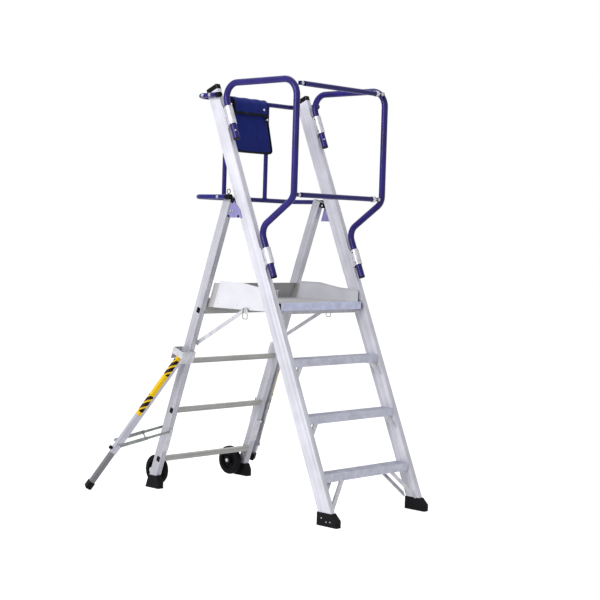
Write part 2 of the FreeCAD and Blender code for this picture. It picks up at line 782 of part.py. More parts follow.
def tyre():
    body = wheel_disc(WHEEL_WIDTH, WHEEL_RADIUS)
    edges = [e for e in body.Edges if e.Curve.TypeId == "Part::GeomCircle"]
    body = body.makeFillet(TYRE_ROUND, edges)
    return body.cut(wheel_disc(WHEEL_WIDTH * 2, RIM_RADIUS))


def stay_pin():
    """The lug and pin on the rear stile's inner face that carry the lower end of a platform stay."""
    along = rear.along_of(STAY_LOW_Y, STAY_LOW_Z)
    across = rear.across_of(STAY_LOW_Y, STAY_LOW_Z)
    plate_start = PLATFORM_HALF_WIDTH + STAY_GAP * 2 + STAY_THICKNESS
    lug = lean_box(
        rear, (across - STAY_END_RADIUS, across + STAY_END_RADIUS * 2),
        (along - STAY_END_RADIUS, along + STAY_END_RADIUS), (plate_start, REAR_INNER),
    )
    centre = (STAY_LOW_Y, STAY_LOW_Z)
    pin = rod((PLATFORM_HALF_WIDTH, *centre), (REAR_INNER, *centre), STAY_PIN_RADIUS)
    return fuse([lug, pin])


# Platform


def toe_board():
    """A folded side board that also carries the platform's pivot."""
    y0 = PLATFORM_FRONT + TOE_BOARD_FRONT_BACK
    points = [
        (y0, TOE_BOARD_BOTTOM),
        rear.at_height(-REAR_BOARD_RETURN - SEAT_GAP, TOE_BOARD_BOTTOM),
        rear.at_height(-REAR_BOARD_RETURN - SEAT_GAP, TOE_BOARD_TOP),
        (PLATFORM_FRONT + TOE_BOARD_REAR_BACK, TOE_BOARD_TOP),
        (PLATFORM_FRONT + TOE_BOARD_MID_BACK, PLATFORM_TOP + TOE_BOARD_MID_RISE),
        (y0, PLATFORM_TOP + TOE_BOARD_FRONT_RISE),
    ]
    x = (PLATFORM_HALF_WIDTH - TOE_BOARD, PLATFORM_HALF_WIDTH)
    skin = prism(points, x[0], x[1])
    ledge_x = (PLATFORM_HALF_WIDTH - TOE_BOARD_LEDGE, PLATFORM_HALF_WIDTH)
    top_edge = points[2:6]
    ledges = []
    for start, end in zip(top_edge, top_edge[1:]):
        under = [(start[0], start[1] - TOE_BOARD), (end[0], end[1] - TOE_BOARD)]
        ledges.append(prism([start, end, under[1], under[0]], ledge_x[0], ledge_x[1]))
    hole = rod((ledge_x[0], PIVOT_Y, PIVOT_Z), (ledge_x[1] + 1, PIVOT_Y, PIVOT_Z), PIVOT_PIN_RADIUS + PIN_GAP)
    return fuse([skin] + ledges).cut(hole)


def rear_toe_board():
    """A board across the back, parallel to the rear stiles, with a return at each end."""
    half = PLATFORM_HALF_WIDTH
    wall = TOE_BOARD
    gap = REAR_BOARD_GAP

    def upright(n0, n1, low):
        return [
            rear.at_height(n0, low), rear.at_height(n1, low),
            rear.at_height(n1, REAR_BOARD_TOP), rear.at_height(n0, REAR_BOARD_TOP),
        ]

    panel = prism(upright(-wall - gap, -gap, PLATFORM_TOP + SEAT_GAP), -half, half)
    side = prism(upright(-REAR_BOARD_RETURN, -gap, CROSS_TUBE_TOP + SEAT_GAP * 2), half - wall, half)
    y = rear.at_height(-wall - gap, REAR_BOARD_TOP)[0]
    lip = box((-half, half), (y - TOE_BOARD_LEDGE, y + wall / 2), (REAR_BOARD_TOP - wall, REAR_BOARD_TOP))
    return fuse([panel, side, mirrored(side), lip])


def deck_half():
    return PLATFORM_HALF_WIDTH - TOE_BOARD - SEAT_GAP


def deck():
    """The standing surface: a skin with side flanges, ribs and a beam under its front edge."""
    half = deck_half()
    front_y = front.at_height(0, PLATFORM_TOP)[0] + NOSING_DEPTH + SEAT_GAP
    low = CROSS_TUBE_TOP + SEAT_GAP
    y_range = (front_y, cross_tube_centre()[0])
    pieces = [box((-half, half), y_range, (PLATFORM_TOP - PLATFORM_SKIN, PLATFORM_TOP))]
    pitch = (2 * half - PLATFORM_RIB_WALL) / (PLATFORM_RIBS + 1)
    for i in range(PLATFORM_RIBS + 2):
        start = -half + i * pitch
        rib_z = (low, PLATFORM_TOP - PLATFORM_SKIN / 2)
        pieces.append(box((start, start + PLATFORM_RIB_WALL), y_range, rib_z))
    beam_half = half - FRONT_BEAM_INSET
    beam_y = front_y - FRONT_BEAM_DEPTH / 2
    beam_top = PLATFORM_TOP - NOSING_HEIGHT - SEAT_GAP
    beam_z = (beam_top - FRONT_BEAM_HEIGHT, beam_top)
    pieces.append(box((-beam_half, beam_half), (beam_y, beam_y + FRONT_BEAM_DEPTH), beam_z))
    hole = rod((beam_half, PIVOT_Y, PIVOT_Z), (half + 1, PIVOT_Y, PIVOT_Z), PIVOT_PIN_RADIUS * 1.6)
    return fuse(pieces).cut([hole, mirrored(hole)])


def nosing():
    """The extruded front edge of the platform, grooved on top."""
    half = deck_half()
    y0 = front.at_height(0, PLATFORM_TOP)[0]
    z0 = PLATFORM_TOP - NOSING_HEIGHT
    body = box((-half, half), (y0, y0 + NOSING_DEPTH), (z0, PLATFORM_TOP))
    front_edges = [e for e in body.Edges if abs(e.CenterOfMass.y - y0) < 0.01 and abs(e.CenterOfMass.x) < 1]
    body = body.makeFillet(NOSING_ROUND, front_edges)
    groove_z = (PLATFORM_TOP - RIB_HEIGHT, PLATFORM_TOP + RIB_HEIGHT)
    grooves = []
    for i in range(NOSING_GROOVES):
        y = y0 + NOSING_FRONT_LAND + i * NOSING_GROOVE_PITCH
        grooves.append(box((-INNER, INNER), (y, y + NOSING_GROOVE_WIDTH), groove_z))
    return body.cut(grooves)


def stay_range():
    return (PLATFORM_HALF_WIDTH + STAY_GAP, PLATFORM_HALF_WIDTH + STAY_GAP + STAY_THICKNESS)


def stay():
    """A flat stay from the rear stile's lug up to the platform's side board, with a stub for its catch."""
    x = stay_range()
    dy, dz = STAY_HIGH_Y - STAY_LOW_Y, STAY_HIGH_Z - STAY_LOW_Z
    length = math.hypot(dy, dz)
    half = STAY_WIDTH / 2
    side = (-dz / length * half, dy / length * half)
    low, high = (STAY_LOW_Y, STAY_LOW_Z), (STAY_HIGH_Y, STAY_HIGH_Z)
    outline = [
        (low[0] - side[0], low[1] - side[1]), (high[0] - side[0], high[1] - side[1]),
        (high[0] + side[0], high[1] + side[1]), (low[0] + side[0], low[1] + side[1]),
    ]
    stub_end = x[1] + STAY_GAP / 3 + CATCH_WIRE * 2
    pieces = [
        prism(outline, x[0], x[1]),
        rod((x[0], *low), (x[1], *low), half),
        rod((x[0], *high), (x[1], *high), half),
        rod((x[1] - 1, *high), (stub_end, *high), CATCH_STUB_RADIUS),
    ]
    hole = rod((x[0] - 1, *low), (x[1] + 1, *low), STAY_PIN_RADIUS + PIN_GAP)
    return fuse(pieces).cut(hole)


def catch():
    """A wire bail that hangs on the stub at a stay's upper end and closes under the side board."""
    x = stay_range()[1] + CATCH_WIRE + STAY_GAP / 3
    y, z = STAY_HIGH_Y, STAY_HIGH_Z
    half = CATCH_WIDTH / 2
    eye = CATCH_STUB_RADIUS + PIN_GAP * 4
    top = z + eye + CATCH_WIRE
    points = [
        (x, y, top), (x, y - half, top), (x, y - half, z - CATCH_HEIGHT),
        (x, y + half, z - CATCH_HEIGHT), (x, y + half, top), (x, y, top),
    ]
    bend = CATCH_WIRE * 2.5
    return swept(points, (bend, bend, bend, bend), CATCH_WIRE)


# Side rails and gates


def rail_points():
    return [
        (RAIL_X, *rail_line(RAIL_LOW_END)),
        (RAIL_X, *rail_line(RAIL_BEND_Z)),
        (RAIL_X, RAIL_FRONT_Y, RAIL_KNEE_Z),
        (RAIL_X, RAIL_FRONT_Y, RAIL_TOP_Z),
        (RAIL_X, *rail_line(RAIL_TOP_Z)),
        (RAIL_X, *rail_line(RAIL_HIGH_END)),
    ]


def gate_fork(side, height):
    """Two lugs and a cross pin on the inner side of a side rail, for one end of a gate bar."""
    inner = GATE_TONGUE / 2 + GATE_LUG_GAP
    outer = inner + GATE_LUG
    root = RAIL_X - RAIL_RADIUS + RAIL_WALL
    tip = GATE_PIVOT_X - GATE_EYE_RADIUS
    x = sorted((side * root, side * tip))
    z = (height - GATE_EYE_RADIUS, height + GATE_EYE_RADIUS)
    low = box(x, (RAIL_FRONT_Y - outer, RAIL_FRONT_Y - inner), z)
    high = box(x, (RAIL_FRONT_Y + inner, RAIL_FRONT_Y + outer), z)
    start = (side * GATE_PIVOT_X, RAIL_FRONT_Y - outer, height)
    end = (side * GATE_PIVOT_X, RAIL_FRONT_Y + outer, height)
    return [low, high, rod(start, end, GATE_PIN_RADIUS)]


def side_rail(side):
    """One bent side rail, with the lugs that hold the gate bars."""
    tube = pipe(rail_points(), RAIL_BEND_RADII, RAIL_RADIUS, RAIL_WALL)
    if side < 0:
        tube = mirrored(tube)
    lugs = [piece for height in GATE_HEIGHTS for piece in gate_fork(side, height)]
    return fuse([tube] + lugs)


def rail_plugs():
    """End plugs in both tails of a side rail."""
    points = rail_points()
    shapes = []
    for end, inside in ((points[0], points[1]), (points[-1], points[-2])):
        end, inside = V(*end), V(*inside)
        inward = (inside - end).normalize()
        lid = Part.makeCylinder(RAIL_RADIUS, RAIL_PLUG_LID, end - inward * RAIL_PLUG_LID, inward)
        spigot_radius = RAIL_RADIUS - RAIL_WALL - PIN_GAP
        spigot = Part.makeCylinder(spigot_radius, RAIL_PLUG_DEPTH, end - inward * RAIL_PLUG_LID / 2, inward)
        shapes.append(fuse([lid, spigot]))
    return shapes


def gate_bar(height):
    """A gate bar: a tube with a hinge tongue at the left and an open hook at the right."""
    y = RAIL_FRONT_Y
    tube = rod((-GATE_TUBE_LEFT, y, height), (GATE_TUBE_RIGHT, y, height), GATE_RADIUS)
    bore = rod((-GATE_TUBE_LEFT - 1, y, height), (GATE_TUBE_RIGHT + 1, y, height), GATE_RADIUS - GATE_WALL)
    plug = GATE_RADIUS - GATE_WALL / 2
    half = GATE_TONGUE / 2
    rise = GATE_EYE_RADIUS
    pieces = [
        tube.cut(bore),
        rod((-GATE_TUBE_LEFT, y, height), (-GATE_TUBE_LEFT + rise, y, height), plug),
        rod((GATE_TUBE_RIGHT - rise, y, height), (GATE_TUBE_RIGHT, y, height), plug),
        box((-GATE_PIVOT_X, -GATE_TUBE_LEFT + 1), (y - half, y + half), (height - rise, height + rise)),
        rod((-GATE_PIVOT_X, y - half, height), (-GATE_PIVOT_X, y + half, height), rise),
        box((GATE_TUBE_RIGHT - 1, GATE_PIVOT_X), (y - half, y + half), (height - rise, height + rise)),
        rod((GATE_PIVOT_X, y - half, height), (GATE_PIVOT_X, y + half, height), rise),
    ]
    bar = fuse(pieces)
    eye = rod((-GATE_PIVOT_X, y - rise, height), (-GATE_PIVOT_X, y + rise, height), GATE_PIN_RADIUS + PIN_GAP)
    slot = GATE_PIN_RADIUS + HOOK_GAP
    notch = rod((GATE_PIVOT_X, y - rise, height), (GATE_PIVOT_X, y + rise, height), slot)
    mouth = box((GATE_PIVOT_X - slot, GATE_PIVOT_X + slot), (y - rise, y + rise), (height - rise - 1, height))
    return bar.cut([eye, notch, mouth])


# Rear guard


def guard_points(height, end):
    return [
        (-GUARD_X, end, height), (-GUARD_X, GUARD_Y, height),
        (GUARD_X, GUARD_Y, height), (GUARD_X, end, height),
    ]


def guard_rail(height, end):
    return pipe(guard_points(height, end), (GUARD_BEND, GUARD_BEND), GUARD_RADIUS, GUARD_WALL)


def guard_upper_rail():
    y, z = guard_pivot()
    reach = GUARD_X + GUARD_RADIUS * 2
    hole = rod((-reach, y, z), (reach, y, z), GUARD_PIN_RADIUS + PIN_GAP)
    return guard_rail(GUARD_UPPER_Z, GUARD_UPPER_END).cut(hole)


def guard_posts():
    """The two uprights between the guard's rails, coped to fit them."""
    posts = []
    for side in (-1, 1):
        x = side * GUARD_POST_X
        outer = rod((x, GUARD_Y, GUARD_LOWER_Z), (x, GUARD_Y, GUARD_UPPER_Z), GUARD_POST_RADIUS)
        bore = rod((x, GUARD_Y, GUARD_LOWER_Z), (x, GUARD_Y, GUARD_UPPER_Z), GUARD_POST_RADIUS - GUARD_WALL)
        cope = [
            rod((x - GUARD_X / 4, GUARD_Y, z), (x + GUARD_X / 4, GUARD_Y, z), GUARD_RADIUS + PIN_GAP)
            for z in (GUARD_LOWER_Z, GUARD_UPPER_Z)
        ]
        posts.append(outer.cut([bore] + cope))
    return posts


def guard_fittings():
    """Black ends on the guard's arms; the lower ones carry a pull ring."""
    shapes = []
    for side in (-1, 1):
        x = side * GUARD_X
        end = GUARD_UPPER_END
        z = GUARD_UPPER_Z
        inner = GUARD_RADIUS - GUARD_WALL - PIN_GAP
        lid = rod((x, end - GUARD_CAP / 2, z), (x, end, z), GUARD_RADIUS)
        plug = rod((x, end - GUARD_CAP / 4, z), (x, end + GUARD_CAP * 2, z), inner)
        shapes.append(fuse([lid, plug]))
        start = GUARD_LOWER_END
        end = start + SLEEVE_LENGTH
        z = GUARD_LOWER_Z
        outer = GUARD_RADIUS + SLEEVE_WALL
        sleeve = rod((x, start - GUARD_CAP / 2, z), (x, end, z), outer)
        bore = rod((x, start, z), (x, end + 1, z), GUARD_RADIUS + PIN_GAP)
        ring_y = start + RING_RADIUS
        ring_z = z + outer + RING_RADIUS + RING_WIRE
        post_top = ring_z - RING_RADIUS + RING_WIRE / 2
        post = rod((x, ring_y, z + outer - SLEEVE_WALL / 2), (x, ring_y, post_top), RING_POST_RADIUS)
        ring = Part.makeTorus(RING_RADIUS, RING_WIRE, V(x, ring_y, ring_z), V(1, 0, 0))
        shapes.append(fuse([sleeve.cut(bore), post, ring]))
    return shapes


# Tool bag


def cloth_range():
    """Front to back extent of the bag, just ahead of the guard's posts."""
    back = GUARD_Y - GUARD_POST_RADIUS - BAG_SLEEVE
    return (back - BAG_THICKNESS, back)


def tool_bag():
    """A closed bag that hangs in front of the guard by a sleeve round its upper rail."""
    y = cloth_range()
    (left, right), (low_left, low_right) = BAG_TOP_EDGE, BAG_BOTTOM_EDGE
    corners = [
        V(low_left, y[0], BAG_BOTTOM), V(low_right, y[0], BAG_BOTTOM),
        V(right, y[0], BAG_TOP), V(left, y[0], BAG_TOP),
    ]
    body = Part.Face(Part.makePolygon(corners + [corners[0]])).extrude(V(0, y[1] - y[0], 0))
    inner = GUARD_RADIUS + BAG_SLEEVE_GAP
    outer = inner + BAG_SLEEVE
    sleeve = rod((left, GUARD_Y, GUARD_UPPER_Z), (right, GUARD_Y, GUARD_UPPER_Z), outer)
    bore = rod((left - 1, GUARD_Y, GUARD_UPPER_Z), (right + 1, GUARD_Y, GUARD_UPPER_Z), inner)
    strip_y = (GUARD_Y - outer - BAG_SLEEVE / 2, GUARD_Y - inner)
    strip = box((left, right), strip_y, (BAG_TOP - BAG_SLEEVE, GUARD_UPPER_Z))
    return fuse([body, sleeve, strip]).cut(bore)


def flap_hinge():
    sleeve_top = GUARD_UPPER_Z + GUARD_RADIUS + BAG_SLEEVE_GAP + BAG_SLEEVE
    return (GUARD_Y, sleeve_top + FLAP_GAP + FLAP_THICKNESS / 2)


def bag_flap():
    """The bag's cover: over the rail and down the front."""
    left, right = BAG_TOP_EDGE
    y, z = flap_hinge()
    front_y = cloth_range()[0] - FLAP_GAP
    half = FLAP_THICKNESS / 2
    x = (left - FLAP_GAP * 2, right + FLAP_GAP * 2)
    top = box(x, (front_y - FLAP_THICKNESS, y), (z - half, z + half))
    panel = box(x, (front_y - FLAP_THICKNESS, front_y), (FLAP_HEM, z + half))
    seam = rod((x[0], y, z), (x[1], y, z), half)
    return fuse([top, panel, seam])


# Stabilisers


def swing_axes():
    """Directions at a right-hand leg: the hinge axis, outward across it, and down the rear stile."""
    tilt = math.radians(SWING_TILT)
    back = V(0, rear.back[0], rear.back[1])
    axis = V(-math.sin(tilt), 0, 0) + back * math.cos(tilt)
    outward = V(math.cos(tilt), 0, 0) + back * math.sin(tilt)
    down = V(0, -rear.up[0], -rear.up[1])
    return axis, outward, down


def leg_hinge():
    return V(LEG_X, *rear.at_height(LEG_ACROSS, LEG_Z))


def in_leg_frame(shape, angle):
    """Place a shape drawn with X on the hinge axis, Y across the leg and Z down it."""
    axis, outward, down = swing_axes()
    turn = math.radians(angle)
    across = outward * math.cos(turn) - down * math.sin(turn)
    along = down * math.cos(turn) + outward * math.sin(turn)
    at = leg_hinge()
    matrix = FreeCAD.Matrix(
        axis.x, across.x, along.x, at.x,
        axis.y, across.y, along.y, at.y,
        axis.z, across.z, along.z, at.z,
        0, 0, 0, 1,
    )
    placed = shape.copy()
    placed.Placement = FreeCAD.Placement(matrix)
    return placed


def strut_geometry():
    """The stay's length, and its angle to the leg when the leg is deployed."""
    axis, outward, down = swing_axes()
    middle = V((REAR_INNER + OUTER) / 2, *rear.point(REAR_DEPTH / 2, STRUT_STILE_ALONG))
    offset = middle - leg_hinge()
    stile_t, stile_w = offset.dot(down), offset.dot(outward)
    turn = math.radians(DEPLOYED_ANGLE)
    dt = stile_t - STRUT_AT * math.cos(turn)
    dw = stile_w - STRUT_AT * math.sin(turn)
    length = math.hypot(dt, dw)
    cosine = -(dt * math.cos(turn) + dw * math.sin(turn)) / length
    return length, math.degrees(math.acos(cosine)), V(offset.dot(axis), stile_w, stile_t)


def square_bar(half, start, end):
    return box((-half, half), (-half, half), (start, end))


def leg():
    """The stabiliser's outer tube, with stub pins for its stay."""
    half = LEG_TUBE / 2
    bore = half - LEG_WALL
    tube = square_bar(half, -LEG_TOP, LEG_LENGTH).cut(square_bar(bore, -LEG_TOP - 1, LEG_LENGTH + 1))
    near = -(half + STRUT_NEAR_GAP + STRUT_THICKNESS)
    far = STRUT_FAR + STRUT_THICKNESS
    stub = STRUT_PEG_RADIUS
    gap = SEAT_GAP
    pieces = [
        tube,
        rod((near - gap, 0, STRUT_AT), (-bore - gap, 0, STRUT_AT), stub),
        rod((near - gap - stub, 0, STRUT_AT), (near - gap, 0, STRUT_AT), stub * 1.6),
        rod((bore + gap, 0, STRUT_AT), (far + gap, 0, STRUT_AT), stub),
        rod((half, 0, STRUT_AT), (STRUT_FAR - gap, 0, STRUT_AT), stub * 1.3),
        rod((far + gap, 0, STRUT_AT), (far + gap + stub * 0.6, 0, STRUT_AT), stub * 1.6),
    ]
    holes = [
        rod((-half - 1, 0, 0), (half + 1, 0, 0), LEG_PIN_RADIUS + PIN_GAP),
        rod((0, bore - 1, KNOB_AT), (0, half + 1, KNOB_AT), KNOB_STEM + PIN_GAP),
    ]
    return fuse(pieces).cut(holes)


def knob():
    half = LEG_TUBE / 2
    inner = half - LEG_WALL
    base = half + SEAT_GAP
    return fuse([
        rod((0, inner, KNOB_AT), (0, base + 1, KNOB_AT), KNOB_STEM),
        rod((0, base, KNOB_AT), (0, base + KNOB_HEIGHT / 3, KNOB_AT), KNOB_RADIUS * 0.7),
        rod((0, base + KNOB_HEIGHT / 3, KNOB_AT), (0, base + KNOB_HEIGHT, KNOB_AT), KNOB_RADIUS),
    ])


def slider(reach):
    half = SLIDER_TUBE / 2
    end = reach - FOOT_CAP_LENGTH + FOOT_CAP_COVER
    bore = half - SLIDER_WALL
    outer = square_bar(half, end - SLIDER_LENGTH, end)
    return outer.cut(square_bar(bore, end - SLIDER_LENGTH - 1, end + 1))


def foot_cap(reach):
    half = FOOT_CAP / 2
    block = square_bar(half, reach - FOOT_CAP_LENGTH, reach)
    ends = [e for e in block.Edges if abs(e.CenterOfMass.z - reach) < 0.01]
    block = block.makeFillet(min(FOOT_CAP_ROUND, half * 0.9), ends)
    socket = SLIDER_TUBE / 2 + PIN_GAP
    top = reach - FOOT_CAP_LENGTH
    return block.cut(square_bar(socket, top - 1, top + FOOT_CAP_COVER))


def deployed_reach():
    """How far a deployed leg is drawn out for its cap to stand on the floor."""
    trial = RETRACTED_REACH
    points, faces = in_leg_frame(foot_cap(trial), DEPLOYED_ANGLE).tessellate(0.05)
    lowest = min(p.z for p in points)
    axis, outward, down = swing_axes()
    turn = math.radians(DEPLOYED_ANGLE)
    along = down * math.cos(turn) + outward * math.sin(turn)
    return trial - lowest / along.z


def strut(angle):
    """Two flat bars joined by a cross rod; they straddle the leg and the rear stile."""
    length = strut_geometry()[0]
    turn = math.radians(angle)
    along = (-math.sin(turn), -math.cos(turn))
    side = (-along[1], along[0])
    rod_at = length * STRUT_ROD_SHARE

    def corner(reach, offset):
        return (along[0] * reach + side[0] * offset, STRUT_AT + along[1] * reach + side[1] * offset)

    def bar(start):
        wide, narrow = STRUT_BAR / 2, STRUT_TAIL / 2
        end = rod_at + wide
        x = (start, start + STRUT_THICKNESS)
        plate = [corner(0, -wide), corner(end, -wide), corner(end, wide), corner(0, wide)]
        tail = [corner(0, -narrow), corner(length, -narrow), corner(length, narrow), corner(0, narrow)]
        return fuse([
            prism(plate, x[0], x[1]),
            prism(tail, x[0], x[1]),
            rod((x[0], *corner(0, 0)), (x[1], *corner(0, 0)), wide),
            rod((x[0], *corner(length, 0)), (x[1], *corner(length, 0)), narrow),
        ])

    near = -(LEG_TUBE / 2 + STRUT_NEAR_GAP + STRUT_THICKNESS)
    head = STRUT_ROD_RADIUS
    end = STRUT_FAR + STRUT_THICKNESS
    cross = rod((near - head, *corner(rod_at, 0)), (end + head, *corner(rod_at, 0)), STRUT_ROD_RADIUS)
    hole = rod((near - 1, 0, STRUT_AT), (end + 1, 0, STRUT_AT), STRUT_PEG_RADIUS + PIN_GAP)
    return fuse([bar(near), bar(STRUT_FAR), cross]).cut(hole)


def strut_pegs():
    """Stub pins on the stile's front and rear faces, where the stay's bars end."""
    offset = strut_geometry()[2]
    near = -(LEG_TUBE / 2 + STRUT_NEAR_GAP) + SEAT_GAP * 1.5
    far = STRUT_FAR - SEAT_GAP * 1.5
    peg = in_leg_frame(rod((near, offset.y, offset.z), (far, offset.y, offset.z), STRUT_PEG_RADIUS), 0)
    reach = STRUT_STILE_ALONG
    along = (reach - REAR_DEPTH * 2, reach + REAR_DEPTH * 2)
    return peg.cut(lean_box(rear, (-STRIP_THICKNESS - SEAT_GAP, REAR_DEPTH), along, (REAR_INNER, OUTER)))


def stabiliser_bracket():
    """A bracket round the rear stile with two ears, a web and the leg's hinge pin."""
    hinge_along = rear.along_of(*rear.at_height(LEG_ACROSS, LEG_Z))
    along = (hinge_along - BRACKET_DOWN, hinge_along + BRACKET_UP)
    wall = BRACKET_WALL
    ear_x = (REAR_INNER, BRACKET_OUT)
    pieces = [
        lean_box(rear, (-BRACKET_FRONT, -BRACKET_FRONT + wall), along, ear_x),
        lean_box(rear, (BRACKET_REAR - wall, BRACKET_REAR), along, ear_x),
        lean_box(rear, (-BRACKET_FRONT, -SEAT_GAP), along, (REAR_INNER, OUTER)),
        lean_box(rear, (REAR_DEPTH + SEAT_GAP, BRACKET_REAR), along, (REAR_INNER, OUTER)),
        lean_box(
            rear, (-BRACKET_FRONT, BRACKET_REAR), (hinge_along - BRACKET_WEB_DOWN, along[1]),
            (BRACKET_OUT - wall, BRACKET_OUT),
        ),
    ]
    cosine = math.cos(math.radians(SWING_TILT))
    start = (-BRACKET_FRONT - LEG_ACROSS) / cosine
    end = (BRACKET_REAR - LEG_ACROSS) / cosine
    pieces.append(in_leg_frame(rod((start, 0, 0), (end, 0, 0), LEG_PIN_RADIUS), 0))
    return fuse(pieces)


def edge_strip():
    """A steel strip on the stile's front face, at the end of the stabiliser's stay."""
    along = (rear.along_at(0, STRIP_BOTTOM), rear.along_at(0, STRIP_TOP))
    return lean_box(rear, (-STRIP_THICKNESS - SEAT_GAP, -SEAT_GAP), along, (REAR_INNER, OUTER))


# Write the nodes

os.makedirs("parts", exist_ok=True)

save("front_stile_left", mirrored(front_stile()))
save("front_stile_right", front_stile())
save("front_caps", both(front_cap()))
save("front_foot_left", mirrored(front_foot()))
save("front_foot_right", front_foot())
for step in range(TREAD_COUNT):
    save("tread_" + str(step + 1), tread(step))
save("tread_stays", [piece for step in range(TREAD_COUNT) for piece in tread_stays(step)])
save("rail_sockets", [piece for low, high in SOCKET_RANGES for piece in both(rail_socket(low, high))])
save("hinge_plates", both(hinge_plate()))
save("pivot_pins", both(hinge_pin()) + both(platform_pin()) + both(guard_pin()))
save("frame_bolts", front_fasteners())

save("rear_stile_left", mirrored(rear_stile()))
save("rear_stile_right", rear_stile())
for number, height in enumerate(RUNG_HEIGHTS):
    save("rear_rung_" + str(number + 1), rear_rung(height))
save("rear_cross_tube", rear_cross_tube())
save("rung_plugs", rung_plugs())
save("rear_feet", both(rear_foot()))
save("hinge_tongues", both(hinge_tongue()))
save("wheel_brackets", both(wheel_bracket()))
save("rear_pivot_bolts", both(wheel_axle()) + both(stay_pin()) + both(strut_pegs()))
save("stabiliser_brackets", both(stabiliser_bracket()) + both(edge_strip()))
for side, place in (("left", mirrored), ("right", lambda shape: shape)):
    save("tyre_" + side, place(tyre()))
    save("wheel_" + side, place(wheel()))
    save("toe_board_" + side, place(toe_board()))
    save("platform_stay_" + side, place(stay()))
    save("catch_" + side, place(catch()))
    save("rail_plugs_" + side, [place(plug) for plug in rail_plugs()])

save("platform_deck", deck())
save("platform_nosing", nosing())
save("toe_board_rear", rear_toe_board())

save("side_rail_left", side_rail(-1))
save("side_rail_right", side_rail(1))
save("gate_bar_upper", gate_bar(GATE_HEIGHTS[0]))
save("gate_bar_lower", gate_bar(GATE_HEIGHTS[1]))

save("guard_upper_rail", guard_upper_rail())
save("guard_lower_rail", guard_rail(GUARD_LOWER_Z, GUARD_LOWER_END))
save("guard_posts", guard_posts())
save("guard_fittings", guard_fittings())
save("tool_bag", tool_bag())
save("bag_flap", bag_flap())

# The left stabiliser stands deployed and drawn out; the right one is folded and pushed in.
deployed_strut = strut_geometry()[1]
stabilisers = (
    ("left", mirrored, DEPLOYED_ANGLE, deployed_reach(), deployed_strut),
    ("right", lambda shape: shape, FOLDED_ANGLE, RETRACTED_REACH, STRUT_FOLDED_ANGLE),
)
for side, place, angle, reach, strut_angle in stabilisers:
    save("leg_" + side, place(in_leg_frame(leg(), angle)))
    save("slider_" + side, place(in_leg_frame(slider(reach), angle)))
    save("foot_cap_" + side, place(in_leg_frame(foot_cap(reach), angle)))
    save("strut_" + side, place(in_leg_frame(strut(strut_angle), angle)))
    save("knob_" + side, place(in_leg_frame(knob(), angle)))
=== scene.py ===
import json
import math

import bpy
from mathutils import Matrix, Vector


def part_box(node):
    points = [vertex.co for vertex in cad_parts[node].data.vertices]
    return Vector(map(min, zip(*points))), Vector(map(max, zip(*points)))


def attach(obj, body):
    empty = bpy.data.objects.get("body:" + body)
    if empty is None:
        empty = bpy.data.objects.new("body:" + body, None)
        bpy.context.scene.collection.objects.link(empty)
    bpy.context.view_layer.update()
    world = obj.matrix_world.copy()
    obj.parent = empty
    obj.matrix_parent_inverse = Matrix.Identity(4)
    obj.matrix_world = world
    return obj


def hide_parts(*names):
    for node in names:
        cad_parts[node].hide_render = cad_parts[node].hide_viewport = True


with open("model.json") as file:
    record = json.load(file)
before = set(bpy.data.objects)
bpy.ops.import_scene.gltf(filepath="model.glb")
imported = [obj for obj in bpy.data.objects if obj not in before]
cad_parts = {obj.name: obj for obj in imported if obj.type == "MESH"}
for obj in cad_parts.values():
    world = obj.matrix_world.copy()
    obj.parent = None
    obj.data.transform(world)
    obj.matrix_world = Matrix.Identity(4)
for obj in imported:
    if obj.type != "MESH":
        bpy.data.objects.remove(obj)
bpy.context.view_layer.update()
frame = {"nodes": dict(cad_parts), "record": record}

NODES = frame["nodes"]

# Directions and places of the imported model, in metres
PIVOTS = {joint["name"]: joint for joint in frame["record"]["behaviour"]["joints"]}
FRONT_LEAN = Vector((0.0, 0.3911, 0.9203))
FRONT_BACK = Vector((0.0, 0.9203, -0.3911))
REAR_LEAN = Vector((0.0, -0.3306, 0.9438))
REAR_BACK = Vector((0.0, 0.9438, 0.3306))
REAR_FOOT_Y = 1.230
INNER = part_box("front_stile_right")[0][0]
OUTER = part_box("front_stile_right")[1][0]
PLATFORM_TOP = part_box("platform_deck")[1][2]
TREAD_TOPS = [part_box("tread_" + str(number))[1][2] for number in (1, 2, 3)]
GUARD_LOWER_Z = (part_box("guard_lower_rail")[0][2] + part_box("guard_lower_rail")[1][2]) / 2
SIDES = ((-1.0, "left"), (1.0, "right"))

# Sizes of what the new pieces sit on
RAIL_X = 0.3076
RAIL_RADIUS = 0.0155
RAIL_OFFSET = 0.025
SOCKETS = ((1.150, 1.222), (1.800, 1.884))
SOCKET_RADIUS = 0.0195
FORK_HALF = 0.0071
GATE_TUBE_RIGHT = 0.256
GUARD_RADIUS = 0.0115
HUB_HALF = 0.018
LEG_HALF = 0.015
STILE_DEPTH = 0.0715

# Hazard tape on the stabiliser legs, measured down from the hinge. It laps round a corner by a share
# of the leg's half width. A stripe is one dark and one yellow line, of which a share is dark, and the
# stripes lie above and below the two heights in TAPE_BANDS.
TAPE_START = 0.012
TAPE_LENGTH = 0.353
TAPE_THICKNESS = 0.00035
TAPE_SHARE = 0.12
TAPE_STRIPE = 0.042
TAPE_DARK = 0.68
TAPE_SHIFT = 0.45
TAPE_SLANT = 0.9
TAPE_BANDS = (0.112, 0.236)
TAPE_MARGIN = 0.020

